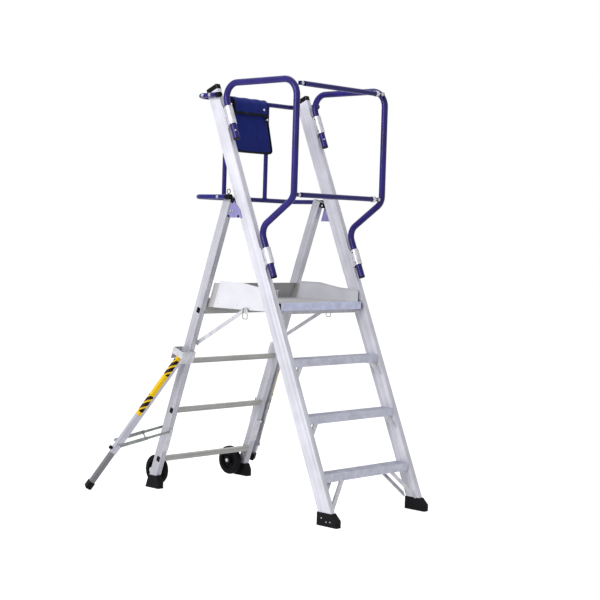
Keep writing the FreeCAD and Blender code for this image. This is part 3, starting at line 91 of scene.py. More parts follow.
# Tool bag: its left and right edges at the mouth and the floor, its fullness and its cover's line
# in the YZ plane, from the seam to the hem
BAG_TOP_EDGE = (-0.122, 0.102)
BAG_BOTTOM_EDGE = (-0.138, 0.158)
BAG_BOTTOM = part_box("tool_bag")[0][2]
BAG_HEIGHT = 0.226
BAG_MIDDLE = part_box("tool_bag")[0][1] + 0.0125
BAG_SLACK = 0.0165
BAG_CORNER = 0.018
BAG_MOST_MOVE = 0.0045
BAG_FLOOR = BAG_BOTTOM + 0.004
BAG_TOP = BAG_BOTTOM + BAG_HEIGHT
BINDING_RADIUS = 0.0062
SLEEVE_RADIUS = 0.0135
COVER_OVERHANG = 0.002
COVER_LINE = [
    (0.968, 1.9560), (0.957, 1.9575), (0.944, 1.9555), (0.932, 1.9490),
    (0.9235, 1.9350), (0.9205, 1.9180), (0.9195, 1.8980), (0.9205, 1.8755),
]


def leg_frame(word):
    """A stabiliser leg's hinge, and its directions down, outward and forward."""
    hinge = "stabiliser_left_fold" if word == "left" else "stabiliser_right_deploy"
    slide = Vector(PIVOTS["extension_" + word + "_slide"]["axis"])
    down = slide if slide.z < 0 else -slide
    outward = Vector(PIVOTS["knob_" + word + "_turn"]["axis"])
    forward = Vector(PIVOTS[hinge]["axis"])
    if forward.y > 0:
        forward = -forward
    return Vector(PIVOTS[hinge]["pos_m"]), down, outward, forward


# Shader building


class Value:
    """A number that varies over a surface. Arithmetic on it adds Math nodes."""

    def __init__(self, finish, socket):
        self.finish = finish
        self.socket = socket

    def math(self, operation, *values):
        return self.finish.node("ShaderNodeMath", {"operation": operation}, list(values))

    def __add__(self, other):
        return self.math("ADD", self, other)

    def __radd__(self, other):
        return self.math("ADD", other, self)

    def __sub__(self, other):
        return self.math("SUBTRACT", self, other)

    def __rsub__(self, other):
        return self.math("SUBTRACT", other, self)

    def __mul__(self, other):
        return self.math("MULTIPLY", self, other)

    def __rmul__(self, other):
        return self.math("MULTIPLY", other, self)

    def __truediv__(self, other):
        return self.math("DIVIDE", self, other)

    def __gt__(self, other):
        return self.math("GREATER_THAN", self, other)

    def __lt__(self, other):
        return self.math("LESS_THAN", self, other)

    def absolute(self):
        return self.math("ABSOLUTE", self)

    def fraction(self):
        return self.math("FRACT", self)

    def sine(self):
        return self.math("SINE", self)

    def larger(self, other):
        return self.math("MAXIMUM", self, other)

    def ramp(self, low, high):
        """0 below low, 1 above high, smooth between them."""
        settings = {"interpolation_type": "SMOOTHSTEP"}
        inputs = {"Value": self, "From Min": low, "From Max": high}
        return self.finish.node("ShaderNodeMapRange", settings, inputs)


class Finish:
    """One procedural material while it is being made."""

    def __init__(self, name, **constants):
        self.material = bpy.data.materials.new(name)
        self.material.use_nodes = True
        self.tree = self.material.node_tree
        self.shader = self.tree.nodes["Principled BSDF"]
        for socket, value in constants.items():
            self.shader.inputs[socket.replace("_", " ")].default_value = value
        self.place = self.node("ShaderNodeTexCoord", output="Object")

    def node(self, kind, settings=None, inputs=None, output=0):
        """A shader node with its settings, then the values or links of its sockets."""
        made = self.tree.nodes.new(kind)
        for name, value in (settings or {}).items():
            setattr(made, name, value)
        pairs = inputs.items() if isinstance(inputs, dict) else enumerate(inputs or [])
        for name, value in pairs:
            if isinstance(value, Value):
                self.tree.links.new(value.socket, made.inputs[name])
            else:
                made.inputs[name].default_value = value
        return Value(self, made.outputs[output])

    def feed(self, socket, value):
        """Link what varies to a socket, or set a constant there."""
        if isinstance(value, Value):
            self.tree.links.new(value.socket, socket)
        else:
            socket.default_value = (*value, 1.0) if isinstance(value, tuple) else value

    def axes(self):
        """The three parts of the place on the object."""
        made = self.node("ShaderNodeSeparateXYZ", inputs=[self.place])
        return [Value(self, made.socket.node.outputs[i]) for i in range(3)]

    def along(self, direction):
        """How far a point of the surface lies along a direction."""
        settings = {"operation": "DOT_PRODUCT"}
        return self.node("ShaderNodeVectorMath", settings, [self.place, direction], "Value")

    def vector(self, x, y, z):
        return self.node("ShaderNodeCombineXYZ", inputs=[x, y, z])

    def noise(self, scale, detail=3.0, vector=None, roughness=0.5):
        inputs = {"Vector": vector or self.place, "Scale": scale, "Detail": detail, "Roughness": roughness}
        return self.node("ShaderNodeTexNoise", inputs=inputs)

    def mix(self, factor, first, second):
        made = self.tree.nodes.new("ShaderNodeMix")
        made.data_type = "RGBA"
        for socket, value in ((made.inputs[0], factor), (made.inputs[6], first), (made.inputs[7], second)):
            self.feed(socket, value)
        return Value(self, made.outputs[2])

    def edges(self, radius=0.0012):
        """1 on rounded edges and corners, where the finishes paint a highlight; 0 on the flats."""
        bevel = self.node("ShaderNodeBevel", {"samples": 4}, {"Radius": radius})
        normal = self.node("ShaderNodeNewGeometry", output="Normal")
        dot = self.node("ShaderNodeVectorMath", {"operation": "DOT_PRODUCT"}, [bevel, normal], "Value")
        return (1.0 - dot).ramp(0.01, 0.2)

    def dress(self, colour=None, roughness=None, metallic=None, height=None, depth=0.0002, coat=None):
        """Link what varies to the shader; height feeds a Bump node of that depth in metres."""
        for name, value in (
            ("Base Color", colour), ("Roughness", roughness), ("Metallic", metallic), ("Coat Weight", coat),
        ):
            if value is not None:
                self.feed(self.shader.inputs[name], value)
        if height is not None:
            inputs = {"Height": height, "Distance": depth, "Strength": 1.0}
            bump = self.node("ShaderNodeBump", inputs=inputs)
            self.tree.links.new(bump.socket, self.shader.inputs["Normal"])
        return self.material


def scaled(tone, factor, lift=0.0):
    """A colour made darker or lighter."""
    return tuple(min(part * factor + lift, 1.0) for part in tone)


# Metals


def drawn_alloy(name, tone, direction, side=Vector((1.0, 0.0, 0.0)), metallic=0.35, roughness=0.34):
    """Extruded aluminium: fine draw lines along its length, faint stains, edges painted near-white as a
    painted highlight.
    """
    finish = Finish(name, Anisotropic=0.3, Specular_IOR_Level=0.25)
    across = direction.cross(side).normalized()
    along, depth, width = finish.along(direction), finish.along(across), finish.along(side)
    lines = finish.noise(1.0, 3.0, finish.vector(width * 420.0, depth * 420.0, along * 2.5), 0.55)
    bands = finish.noise(1.0, 2.0, finish.vector(width * 70.0, depth * 70.0, along * 1.2))
    stains = finish.noise(8.0, 4.0)
    shade = (lines * 0.25 + bands * 0.45 + stains * 0.40).ramp(0.40, 0.72)
    colour = finish.mix(shade, scaled(tone, 0.80), scaled(tone, 1.10))
    # Painted highlight: edges and corners mixed towards near-white.
    colour = finish.mix(finish.edges() * 0.5, colour, (0.86, 0.86, 0.90))
    rough = roughness + lines * 0.10 + stains * 0.08
    return finish.dress(colour, rough, metallic, lines * 0.35 + bands * 0.3, 0.0001)


def ribbed_alloy(name, tone, pitch, metallic=0.35):
    """Tread and deck alloy with fine cross serrations, darker patches and darker lines along the
    serrations, and edges painted pale as a painted highlight.
    """
    finish = Finish(name, Specular_IOR_Level=0.3)
    x = finish.axes()[0]
    serration = ((x / pitch).fraction() - 0.5).absolute() * 2.0
    wear = finish.noise(22.0, 5.0)
    grain = finish.noise(700.0, 2.0)
    # Darker patches from noise, and darker lines that follow the serrations.
    dark_patches_and_lines = (finish.noise(60.0, 4.0) * 0.7 + serration * 0.3).ramp(0.35, 0.75)
    colour = finish.mix(wear.ramp(0.3, 0.7), scaled(tone, 0.82), tone)
    colour = finish.mix(dark_patches_and_lines * 0.35, colour, scaled(tone, 0.45))
    # Painted highlight: edges and corners mixed towards near-white.
    colour = finish.mix(finish.edges() * 0.6, colour, (0.85, 0.85, 0.89))
    return finish.dress(colour, 0.40 + wear * 0.2, metallic, serration * 0.5 + grain * 0.2, 0.0003)


def sheet_alloy(name, tone, metallic=0.35):
    """Folded bright sheet: soft ripples, light scratches."""
    finish = Finish(name)
    ripple = finish.noise(7.0, 2.0)
    x, y, z = finish.axes()
    scratch = finish.noise(1.0, 5.0, finish.vector(x * 300.0, y * 40.0, z * 700.0))
    colour = finish.mix(ripple.ramp(0.3, 0.7), scaled(tone, 0.9), tone)
    colour = finish.mix(scratch.ramp(0.62, 0.8) * 0.35, colour, scaled(tone, 0.6))
    # Painted highlight: edges and corners mixed towards near-white.
    colour = finish.mix(finish.edges() * 0.6, colour, (0.88, 0.88, 0.92))
    return finish.dress(colour, 0.30 + ripple * 0.15, metallic, ripple * 3.0 + scratch * 0.2, 0.0003)


def cast_alloy(name, tone, roughness=0.42, metallic=0.45):
    """Cast or pressed fittings: fine grain, cloudy darker patches, corners painted bright as a painted
    highlight.
    """
    finish = Finish(name)
    grain = finish.noise(420.0, 3.0)
    cloud = finish.noise(35.0, 4.0)
    colour = finish.mix(cloud.ramp(0.3, 0.75), scaled(tone, 0.75), tone)
    # Painted highlight: edges and corners mixed towards near-white.
    colour = finish.mix(finish.edges() * 0.7, colour, (0.88, 0.88, 0.92))
    return finish.dress(colour, roughness - 0.1 + grain * 0.25, metallic, grain + cloud * 0.4, 0.00015)


def zinc_steel(name, tone=(0.62, 0.62, 0.64)):
    """Zinc-plated fasteners and wire: bright, slightly clouded."""
    finish = Finish(name)
    cloud = finish.noise(90.0, 5.0)
    fine = finish.noise(900.0, 2.0)
    colour = finish.mix(cloud.ramp(0.35, 0.7), scaled(tone, 0.7), tone)
    # Painted highlight: edges and corners mixed towards near-white.
    colour = finish.mix(finish.edges(0.0006) * 0.6, colour, (0.9, 0.9, 0.92))
    return finish.dress(colour, 0.22 + cloud * 0.2, 0.9, fine + cloud, 0.0001)


def powder_coat(name, tone, roughness=0.24):
    """Painted tube: deep colour, orange-peel ripple, paint rubbed pale in scattered scuffs."""
    finish = Finish(name, Coat_Roughness=0.08, Specular_IOR_Level=0.16)
    peel = finish.noise(260.0, 2.0)
    cloud = finish.noise(14.0, 3.0)
    scuff = finish.noise(48.0, 6.0, roughness=0.7).ramp(0.66, 0.74)
    colour = finish.mix(cloud.ramp(0.3, 0.7), scaled(tone, 0.82), scaled(tone, 1.12))
    colour = finish.mix(scuff * 0.25, colour, scaled(tone, 2.2, 0.01))
    rough = roughness + scuff * 0.25 + peel * 0.06
    return finish.dress(colour, rough, 0.0, peel + cloud * 0.4, 0.00012, coat=0.10 - scuff * 0.08)


# Plastics and rubber


def moulded(name, tone=(0.006, 0.006, 0.008), grain_scale=900.0, roughness=0.42):
    """Moulded plastic or rubber: fine spark grain, patches of dust, and edges painted lighter as a painted
    highlight.
    """
    finish = Finish(name, Specular_IOR_Level=0.06)
    grain = finish.noise(grain_scale, 3.0)
    dust = finish.noise(40.0, 5.0).ramp(0.45, 0.8)
    colour = finish.mix(dust * 0.25, tone, scaled(tone, 2.0, 0.006))
    # Painted highlight: edges and corners mixed lighter.
    colour = finish.mix(finish.edges() * 0.30, colour, scaled(tone, 4.0, 0.01))
    return finish.dress(colour, roughness + grain * 0.15 + dust * 0.1, 0.0, grain, 0.00012)


def tyre_rubber(name):
    """Solid tyre: dusty tread face with fine circumferential lines."""
    finish = Finish(name, Specular_IOR_Level=0.06)
    x = finish.axes()[0]
    lines = ((x * 320.0).fraction() - 0.5).absolute()
    dust = finish.noise(55.0, 5.0).ramp(0.4, 0.8)
    colour = finish.mix(dust * 0.4, (0.007, 0.007, 0.008), (0.030, 0.029, 0.028))
    return finish.dress(colour, 0.6 + dust * 0.2, 0.0, lines + finish.noise(500.0, 2.0) * 0.3, 0.0004)


# Cloth


def bag_cloth(name, tone=(0.014, 0.026, 0.200)):
    """Plain-woven coated nylon: a fine over-and-under weave, faint creases."""
    finish = Finish(name, Sheen_Weight=0.04, Sheen_Roughness=0.4, Specular_IOR_Level=0.10)
    x, y, z = finish.axes()
    thread = 0.0011
    warp = (x / thread * math.pi).sine()
    weft = (z / thread * math.pi).sine()
    weave = (warp * weft) * 0.5 + 0.5
    crease = finish.noise(16.0, 4.0, finish.vector(x, y * 0.6, z * 0.35))
    fade = finish.noise(9.0, 3.0).ramp(0.3, 0.75)
    colour = finish.mix(weave, scaled(tone, 0.72), scaled(tone, 1.2))
    colour = finish.mix(fade * 0.35, colour, scaled(tone, 1.5))
    return finish.dress(colour, 0.55 + weave * 0.15, 0.0, weave + crease * 4.0, 0.0004)


def webbing(name, tone):
    """Ribbed binding tape along the bag's edges."""
    finish = Finish(name, Sheen_Weight=0.04, Specular_IOR_Level=0.10)
    x, _, z = finish.axes()
    rib = ((x + z) * 1400.0 * math.pi).sine() * 0.5 + 0.5
    colour = finish.mix(rib, scaled(tone, 0.6), tone)
    return finish.dress(colour, 0.7, 0.0, rib, 0.0003)


def hazard_tape(name, hinge, down, outward, forward):
    """Yellow film with slanted dark stripes near both ends, faintly creased and scuffed."""
    finish = Finish(name, Specular_IOR_Level=0.08)
    along = finish.along(down) - hinge.dot(down) - TAPE_START
    across = finish.along(outward) - hinge.dot(outward)
    depth = finish.along(forward) - hinge.dot(forward)
    slant = along - (across - depth) * TAPE_SLANT
    stripe = (slant / TAPE_STRIPE + TAPE_SHIFT).fraction() < TAPE_DARK
    ends = (along < TAPE_BANDS[0]).larger(along > TAPE_BANDS[1])
    margins = (along > TAPE_MARGIN) * (along < TAPE_LENGTH - TAPE_MARGIN)
    scuff = finish.noise(90.0, 5.0).ramp(0.6, 0.75)
    cloud = finish.noise(24.0, 3.0)
    yellow = finish.mix(cloud.ramp(0.3, 0.7), (0.80, 0.50, 0.006), (0.90, 0.60, 0.010))
    yellow = finish.mix(scuff * 0.3, yellow, (0.62, 0.44, 0.10))
    colour = finish.mix(stripe * ends * margins, yellow, (0.018, 0.006, 0.003))
    return finish.dress(colour, 0.34 + cloud * 0.2, 0.0, finish.noise(160.0, 3.0), 0.0001)


MATERIALS = {
    "front_alloy": drawn_alloy("front_alloy", (0.68, 0.68, 0.74), FRONT_LEAN),
    "rear_alloy": drawn_alloy("rear_alloy", (0.55, 0.55, 0.60), REAR_LEAN),
    "tread_alloy": ribbed_alloy("tread_alloy", (0.68, 0.69, 0.80), 0.0045),
    "deck_alloy": ribbed_alloy("deck_alloy", (0.58, 0.58, 0.60), 0.006),
    "board_alloy": sheet_alloy("board_alloy", (0.78, 0.78, 0.82)),
    "tube_alloy": drawn_alloy("tube_alloy", (0.44, 0.44, 0.42), Vector((1.0, 0.0, 0.0)), REAR_BACK),
    "bracket_alloy": cast_alloy("bracket_alloy", (0.70, 0.70, 0.74)),
    "zinc_steel": zinc_steel("zinc_steel"),
    "rail_paint": powder_coat("rail_paint", (0.020, 0.013, 0.150)),
    "guard_paint": powder_coat("guard_paint", (0.012, 0.008, 0.150)),
    "black_plastic": moulded("black_plastic"),
    "foot_rubber": moulded("foot_rubber", (0.010, 0.010, 0.011), 600.0, 0.5),
    "tyre_rubber": tyre_rubber("tyre_rubber"),
    "bag_cloth": bag_cloth("bag_cloth"),
}


def own_finishes():
    """Finishes of pieces that differ from the others of their slot."""
    wire = zinc_steel("catch_wire", (0.10, 0.10, 0.11))
    strut = cast_alloy("strut_alloy", (0.26, 0.28, 0.27))
    own = {
        # Painted shade: the rear toe board is the same sheet as the side boards, given a darker tone where
        # it stands in shade.
        "toe_board_rear": sheet_alloy("rear_board_painted_shade", (0.55, 0.54, 0.53)),
        "platform_nosing": ribbed_alloy("nosing_alloy", (0.70, 0.74, 0.96), 0.0045),
        "hinge_plates": powder_coat("hinge_plate_paint", (0.26, 0.24, 0.48)),
    }
    for _, word in SIDES:
        _, down, outward, _ = leg_frame(word)
        own["catch_" + word] = wire
        own["strut_" + word] = strut
        own["leg_" + word] = drawn_alloy("leg_alloy_" + word, (0.50, 0.50, 0.57), down, outward)
        own["slider_" + word] = drawn_alloy("slider_alloy_" + word, (0.20, 0.20, 0.21), down, outward)
    return own


def dress_solids():
    own = own_finishes()
    for entry in frame["record"]["subparts"]:
        name = entry["node"]
        materials = NODES[name].data.materials
        materials.clear()
        materials.append(own.get(name, MATERIALS[entry["material_slot"]]))


dress_solids()


# Modelling steps


def deselect():
    bpy.ops.object.select_all(action="DESELECT")


def select(piece):
    """Make this the only selected piece."""
    deselect()
    bpy.context.view_layer.objects.active = piece
    piece.select_set(True)


def placed(name, data):
    """A new object in the scene, made from a mesh, curve, lamp or camera."""
    piece = bpy.data.objects.new(name, data)
    bpy.context.scene.collection.objects.link(piece)
    return piece


def on_faces(piece, test, *steps):
    """Select the faces that pass the test, by centre and normal, and run edit-mode steps on them."""
    select(piece)
    bpy.ops.object.mode_set(mode="EDIT")
    bpy.ops.mesh.select_mode(type="FACE")
    bpy.ops.mesh.select_all(action="DESELECT")
    bpy.ops.object.mode_set(mode="OBJECT")
    for face in piece.data.polygons:
        face.select = test(face.center, face.normal)
    bpy.ops.object.mode_set(mode="EDIT")
    for step in steps:
        step()
    bpy.ops.object.mode_set(mode="OBJECT")


def raised(distance, direction=(0.0, 0.0, 1.0)):
    move = tuple(distance * part for part in direction)
    return lambda: bpy.ops.mesh.extrude_region_move(TRANSFORM_OT_translate={"value": move})


def inset(width):
    return lambda: bpy.ops.mesh.inset(thickness=width)


def facing(direction):
    aim = Vector(direction)
    return lambda centre, normal: normal.dot(aim) > 0.9


def everywhere(centre, normal):
    return True


def make_closed():
    bpy.ops.mesh.select_all(action="SELECT")
    bpy.ops.mesh.normals_make_consistent(inside=False)


def modify(piece, kind, **settings):
    select(piece)
    modifier = piece.modifiers.new(kind.lower(), kind)
    for name, value in settings.items():
        setattr(modifier, name, value)
    bpy.ops.object.modifier_apply(modifier=modifier.name)


def smooth(piece, angle=40.0):
    select(piece)
    bpy.ops.object.shade_smooth_by_angle(angle=math.radians(angle))


def block(size, centre=(0.0, 0.0, 0.0)):
    """A cube of that size, its place kept in its mesh."""
    deselect()
    bpy.ops.mesh.primitive_cube_add(size=1.0)
    piece = bpy.context.object
    piece.data.transform(Matrix.Translation(centre) @ Matrix.Diagonal((*size, 1.0)))
    return piece


def disc(radius, depth, sides=32):
    """A cylinder that stands on the origin, along Z."""
    deselect()
    bpy.ops.mesh.primitive_cylinder_add(
        vertices=sides, radius=radius, depth=depth, location=(0.0, 0.0, 0.0),
    )
    piece = bpy.context.object
    piece.data.transform(Matrix.Translation((0.0, 0.0, depth / 2)))
    return piece


def turned(profile, steps=32):
    """Spin a profile of (radius, height) points round Z into a closed shape."""
    mesh = bpy.data.meshes.new("profile")
    edges = [(i, i + 1) for i in range(len(profile) - 1)]
    mesh.from_pydata([(r, 0.0, z) for r, z in profile], edges, [])
    piece = placed("profile", mesh)
    select(piece)
    bpy.ops.object.mode_set(mode="EDIT")
    bpy.ops.mesh.select_all(action="SELECT")
    bpy.ops.mesh.spin(steps=steps, angle=math.tau, center=(0.0, 0.0, 0.0), axis=(0.0, 0.0, 1.0))
    bpy.ops.mesh.select_all(action="SELECT")
    bpy.ops.mesh.remove_doubles(threshold=0.00001)
    make_closed()
    bpy.ops.object.mode_set(mode="OBJECT")
    return piece


def tube_along(points, radius, squeeze=1.0):
    """A round or flattened strip that follows points smoothly."""
    data = bpy.data.curves.new("line", "CURVE")
    data.dimensions = "3D"
    data.bevel_depth = radius
    data.bevel_resolution = 2
    data.resolution_u = 6
    data.use_fill_caps = True
    spline = data.splines.new("NURBS")
    spline.points.add(len(points) - 1)
    for point, place in zip(spline.points, points):
        point.co = (*place, 1.0)
    spline.order_u = 3
    spline.use_endpoint_u = True
    line = placed("line", data)
    mesh = bpy.data.meshes.new_from_object(line.evaluated_get(bpy.context.evaluated_depsgraph_get()))
    bpy.data.objects.remove(line)
    piece = placed("strip", mesh)
    if squeeze != 1.0:
        middle = sum(place[1] for place in points) / len(points)
        shift = Matrix.Translation((0.0, middle, 0.0))
        mesh.transform(shift @ Matrix.Diagonal((1.0, squeeze, 1.0, 1.0)) @ shift.inverted())
    return piece


def joined(pieces):
    deselect()
    for piece in pieces:
        piece.select_set(True)
    bpy.context.view_layer.objects.active = pieces[0]
    bpy.ops.object.join()
    return pieces[0]


def finish_piece(piece, name, body, slot, material=None):
    """Name a piece, give it its slot's material or its own, and let it ride its body."""
    piece.name = name
    piece.data.materials.clear()
    piece.data.materials.append(material or MATERIALS[slot])
    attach(piece, body)
    return piece


def copies(model, name, places, slot):
    """Copy a model, drawn round Z, to each (body, place, direction), and drop the model."""
    for number, (body, place, direction) in enumerate(places, 1):
        piece = placed(name, model.data.copy())
        turn = Vector(direction).to_track_quat("Z", "Y").to_matrix().to_4x4()
        piece.data.transform(Matrix.Translation(place) @ turn)
        finish_piece(piece, name + "_" + str(number), body, slot)
    bpy.data.objects.remove(model)


# Places on the leaning stiles


def front_at(x, across, height):
    """A point beside the front stile: across is square to it from its front face, rearward."""
    along = (height - across * FRONT_BACK.z) / FRONT_LEAN.z
    return Vector((x, 0.0, 0.0)) + along * FRONT_LEAN + across * FRONT_BACK


def rear_at(x, across, height):
    along = (height - across * REAR_BACK.z) / REAR_LEAN.z
    return Vector((x, REAR_FOOT_Y, 0.0)) + along * REAR_LEAN + across * REAR_BACK


# Fasteners


def hex_bolt(radius, height):
    """A hexagon head with a chamfered top on a round washer."""
    washer = disc(radius * 1.45, height * 0.22)
    modify(washer, "BEVEL", width=height * 0.07, segments=2)
    head = disc(radius * 1.1, height, 6)
    crown = (0.0, 0.0, height * 0.12)
    on_faces(
        head, facing((0, 0, 1)), inset(radius * 0.22), lambda: bpy.ops.transform.translate(value=crown),
    )
    modify(head, "BEVEL", width=height * 0.06, segments=2)
    bolt = joined([washer, head])
    smooth(bolt, 30.0)
    return bolt


def rivet(radius, height):
    """A domed rivet head with a faint centre dimple."""
    dome = [(radius * math.cos(a), height * math.sin(a)) for a in (i * math.pi / 14 for i in range(7))]
    base = [(0.0, -height * 0.2), (radius, -height * 0.2)]
    dimple = [(radius * 0.12, height * 0.93), (0.0, height * 0.9)]
    head = turned(base + dome + dimple, 20)
    smooth(head)
    return head


def socket_screw(radius, height):
    """A round head with a hexagon socket."""
    head = turned([
        (0.0, 0.0), (radius, 0.0), (radius, height * 0.75), (radius * 0.9, height), (radius * 0.5, height),
        (radius * 0.46, height * 0.45), (0.0, height * 0.4),
    ], 18)
    smooth(head)
    return head


def snap(radius, height):
    """A press stud: rolled rim round a shallow dish."""
    cap = turned([
        (0.0, -height * 0.3), (radius, -height * 0.3), (radius * 1.02, height * 0.3),
        (radius * 0.94, height * 0.8), (radius * 0.80, height), (radius * 0.62, height * 0.85),
        (radius * 0.45, height * 0.72), (0.0, height * 0.85),
    ], 24)
    smooth(cap)
    return cap


def add_guard_bolts():
    guard_y, guard_z = PIVOTS["guard_hinge"]["pos_m"][1:]
    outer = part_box("guard_upper_rail")[1][0] - 0.0004
    lower_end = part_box("guard_lower_rail")[0][1]
    spots = []
    for side, _ in SIDES:
        out = (side, 0.0, 0.0)
        spots.append(("guard", (side * outer, guard_y + 0.052, guard_z), out))
        spots.append(("guard", (side * outer, lower_end + 0.078, GUARD_LOWER_Z), out))
    copies(hex_bolt(radius=0.0052, height=0.0048), "guard_bolt", spots, "zinc_steel")


def add_gate_bolts():
    """Bolts on both sides of the forks that hold the gate bars' ends."""
    pin_x = abs(PIVOTS["gate_upper_hinge"]["pos_m"][0])
    rail_y = PIVOTS["gate_upper_hinge"]["pos_m"][1]
    spots = []
    for joint in ("gate_upper_hinge", "gate_lower_hinge"):
        height = PIVOTS[joint]["pos_m"][2]
        for side, word in SIDES:
            body = "side_rail_" + word
            spots.append((body, (side * pin_x, rail_y - FORK_HALF, height), (0.0, -1.0, 0.0)))
            spots.append((body, (side * pin_x, rail_y + FORK_HALF, height), (0.0, 1.0, 0.0)))
    copies(hex_bolt(radius=0.0058, height=0.0046), "gate_bolt", spots, "zinc_steel")


def add_rail_buttons():
    """The spring buttons of the side rails, just below the upper sockets."""
    height = 1.766
    spots = []
    for side, word in SIDES:
        outward = Vector((-0.55, *(-FRONT_BACK.yz * 0.83)))
        centre = front_at(side * RAIL_X, -RAIL_OFFSET, height)
        place = centre + outward.normalized() * (RAIL_RADIUS - 0.0006)
        spots.append(("side_rail_" + word, place, outward))
    copies(snap(radius=0.0042, height=0.0026), "rail_button", spots, "zinc_steel")


def add_tread_rivets():
    """Two rivets at each end of every tread."""
    face = INNER - 0.0027
    drop = 0.042
    spots = []
    for top in TREAD_TOPS:
        front_y = front_at(0.0, 0.0, top).y
        for side, _ in SIDES:
            for back in (0.022, 0.056):
                spots.append(("front_frame", (side * face, front_y + back, top - drop), (-side, 0.0, 0.0)))
    copies(rivet(radius=0.0032, height=0.0016), "tread_rivet", spots, "zinc_steel")


def add_stile_rivets():
    """Pairs of rivets on the rear stiles: (height, places across)."""
    pairs = ((1.092, (0.013, 0.027)), (0.633, (0.012, 0.034)))
    spots = []
    for side, _ in SIDES:
        for height, places in pairs:
            for across in places:
                spots.append(("rear_frame", rear_at(side * OUTER, across, height), (side, 0.0, 0.0)))
    copies(rivet(radius=0.0034, height=0.0020), "stile_rivet", spots, "zinc_steel")


def add_deck_rivets():
    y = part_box("platform_nosing")[1][1] + 0.012
    spots = []
    for side, _ in SIDES:
        for x in (0.262, 0.236, 0.120):
            spots.append(("platform", (side * x, y, PLATFORM_TOP), (0.0, 0.0, 1.0)))
    copies(rivet(radius=0.0044, height=0.0018), "deck_rivet", spots, "zinc_steel")


def add_board_rivets():
    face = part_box("toe_board_right")[1][0]
    side_height, rear_height = 0.947, 1.02
    spots = []
    for side, _ in SIDES:
        for y in (0.52, 0.70, 0.83):
            spots.append(("platform", (side * face, y, side_height), (side, 0.0, 0.0)))
    rear_y = rear_at(0.0, -0.0034, rear_height).y
    ahead = (0.0, -REAR_BACK.y, -REAR_BACK.z)
    for x in (-0.22, 0.0, 0.22):
        spots.append(("platform", (x, rear_y, rear_height), ahead))
    copies(rivet(radius=0.0036, height=0.0016), "board_rivet", spots, "zinc_steel")


def add_socket_screws():
    from_end = 0.012
    spots = []
    for side, _ in SIDES:
        inward = Vector((-side, 0.0, 0.0))
        for low_end, high_end in SOCKETS:
            for height in (low_end + from_end, high_end - from_end):
                place = front_at(side * RAIL_X, -RAIL_OFFSET, height)
                spots.append(("front_frame", place + inward * (SOCKET_RADIUS - 0.0004), inward))
    copies(socket_screw(radius=0.0034, height=0.0022), "socket_screw", spots, "black_plastic")


def add_rail_stops():
    """Black plungers below the lower sockets."""
    plunger = turned([
        (0.0, -0.001), (0.0062, -0.001), (0.0062, 0.0025), (0.0042, 0.0032),
        (0.0042, 0.0062), (0.0050, 0.0068), (0.0050, 0.0080), (0.0, 0.0084),
    ], 20)
    smooth(plunger)
    height = SOCKETS[0][0] - 0.014
    spots = []
    for side, _ in SIDES:
        spots.append(("front_frame", front_at(side * (RAIL_X - 0.006), 0.0, height), tuple(-FRONT_BACK)))
    copies(plunger, "rail_stop", spots, "black_plastic")


def add_plate_caps():
    """Caps at the lower corners of the hinge plates."""
    hinge_y, hinge_z = PIVOTS["rear_fold"]["pos_m"][1:]
    plate_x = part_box("hinge_plates")[1][0]
    low = hinge_z - 0.071
    spots = []
    for side, _ in SIDES:
        for y in (front_at(0.0, 0.0765, low).y, hinge_y + 0.023):
            spots.append(("front_frame", (side * plate_x, y, low), (side, 0.0, 0.0)))
    cap = turned([(0.0, 0.0), (0.0058, 0.0), (0.0058, 0.0032), (0.0044, 0.0044), (0.0, 0.0047)], 20)
    smooth(cap)
    copies(cap, "plate_cap", spots, "black_plastic")


def add_hinge_bosses():
    """A boss over each hinge pin."""
    hinge_y, hinge_z = PIVOTS["rear_fold"]["pos_m"][1:]
    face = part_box("hinge_plates")[1][0] - 0.0002
    boss = turned([
        (0.0, 0.0), (0.0100, 0.0), (0.0098, 0.0030), (0.0070, 0.0052), (0.0036, 0.0058), (0.0, 0.0060),
    ], 24)
    smooth(boss)
    spots = []
    for side, _ in SIDES:
        spots.append(("front_frame", (side * face, hinge_y, hinge_z), (side, 0.0, 0.0)))
    copies(boss, "hinge_boss", spots, "black_plastic")


# Fittings


def add_stile_caps():
    """Thick domed caps on the tops of the front stiles."""
    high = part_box("front_caps")[1]
    width = OUTER - INNER + 0.0008
    for side, word in SIDES:
        cap = block((width, STILE_DEPTH + 0.0008, 0.024))
        on_faces(cap, facing((0, 0, 1)), inset(0.004), raised(0.0035))
        modify(cap, "BEVEL", width=0.0022, segments=3)
        smooth(cap, 50.0)
        centre = front_at(side * (OUTER + INNER) / 2, STILE_DEPTH / 2, high[2] - 0.026)
        turn = Matrix((Vector((1.0, 0.0, 0.0)), FRONT_BACK, FRONT_LEAN)).transposed().to_4x4()
        cap.data.transform(Matrix.Translation(centre) @ turn)
        finish_piece(cap, "stile_cap_" + word, "front_frame", "black_plastic")


def add_guard_sleeves():
    """Black ribbed grips on the ends of the guard's upper arms."""
    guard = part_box("guard_upper_rail")
    z = PIVOTS["guard_hinge"]["pos_m"][2]
    x = guard[1][0] - GUARD_RADIUS
    y = guard[0][1]
    radius = GUARD_RADIUS + 0.0011
    profile = [(0.0, -0.0002), (GUARD_RADIUS - 0.003, 0.0), (radius, 0.003)]
    groove = radius - 0.0007
    for ring in range(4):
        level = 0.006 + ring * 0.0048
        profile += [(radius, level), (groove, level + 0.0008)]
        profile += [(groove, level + 0.0022), (radius, level + 0.003)]
    profile += [(radius, 0.0265), (GUARD_RADIUS + 0.0002, 0.0275), (0.0, 0.0275)]
    grip = turned(profile, 28)
    smooth(grip)
    spots = [("guard", (side * x, y - 0.0052, z), (0.0, 1.0, 0.0)) for side, _ in SIDES]
    copies(grip, "guard_grip", spots, "black_plastic")


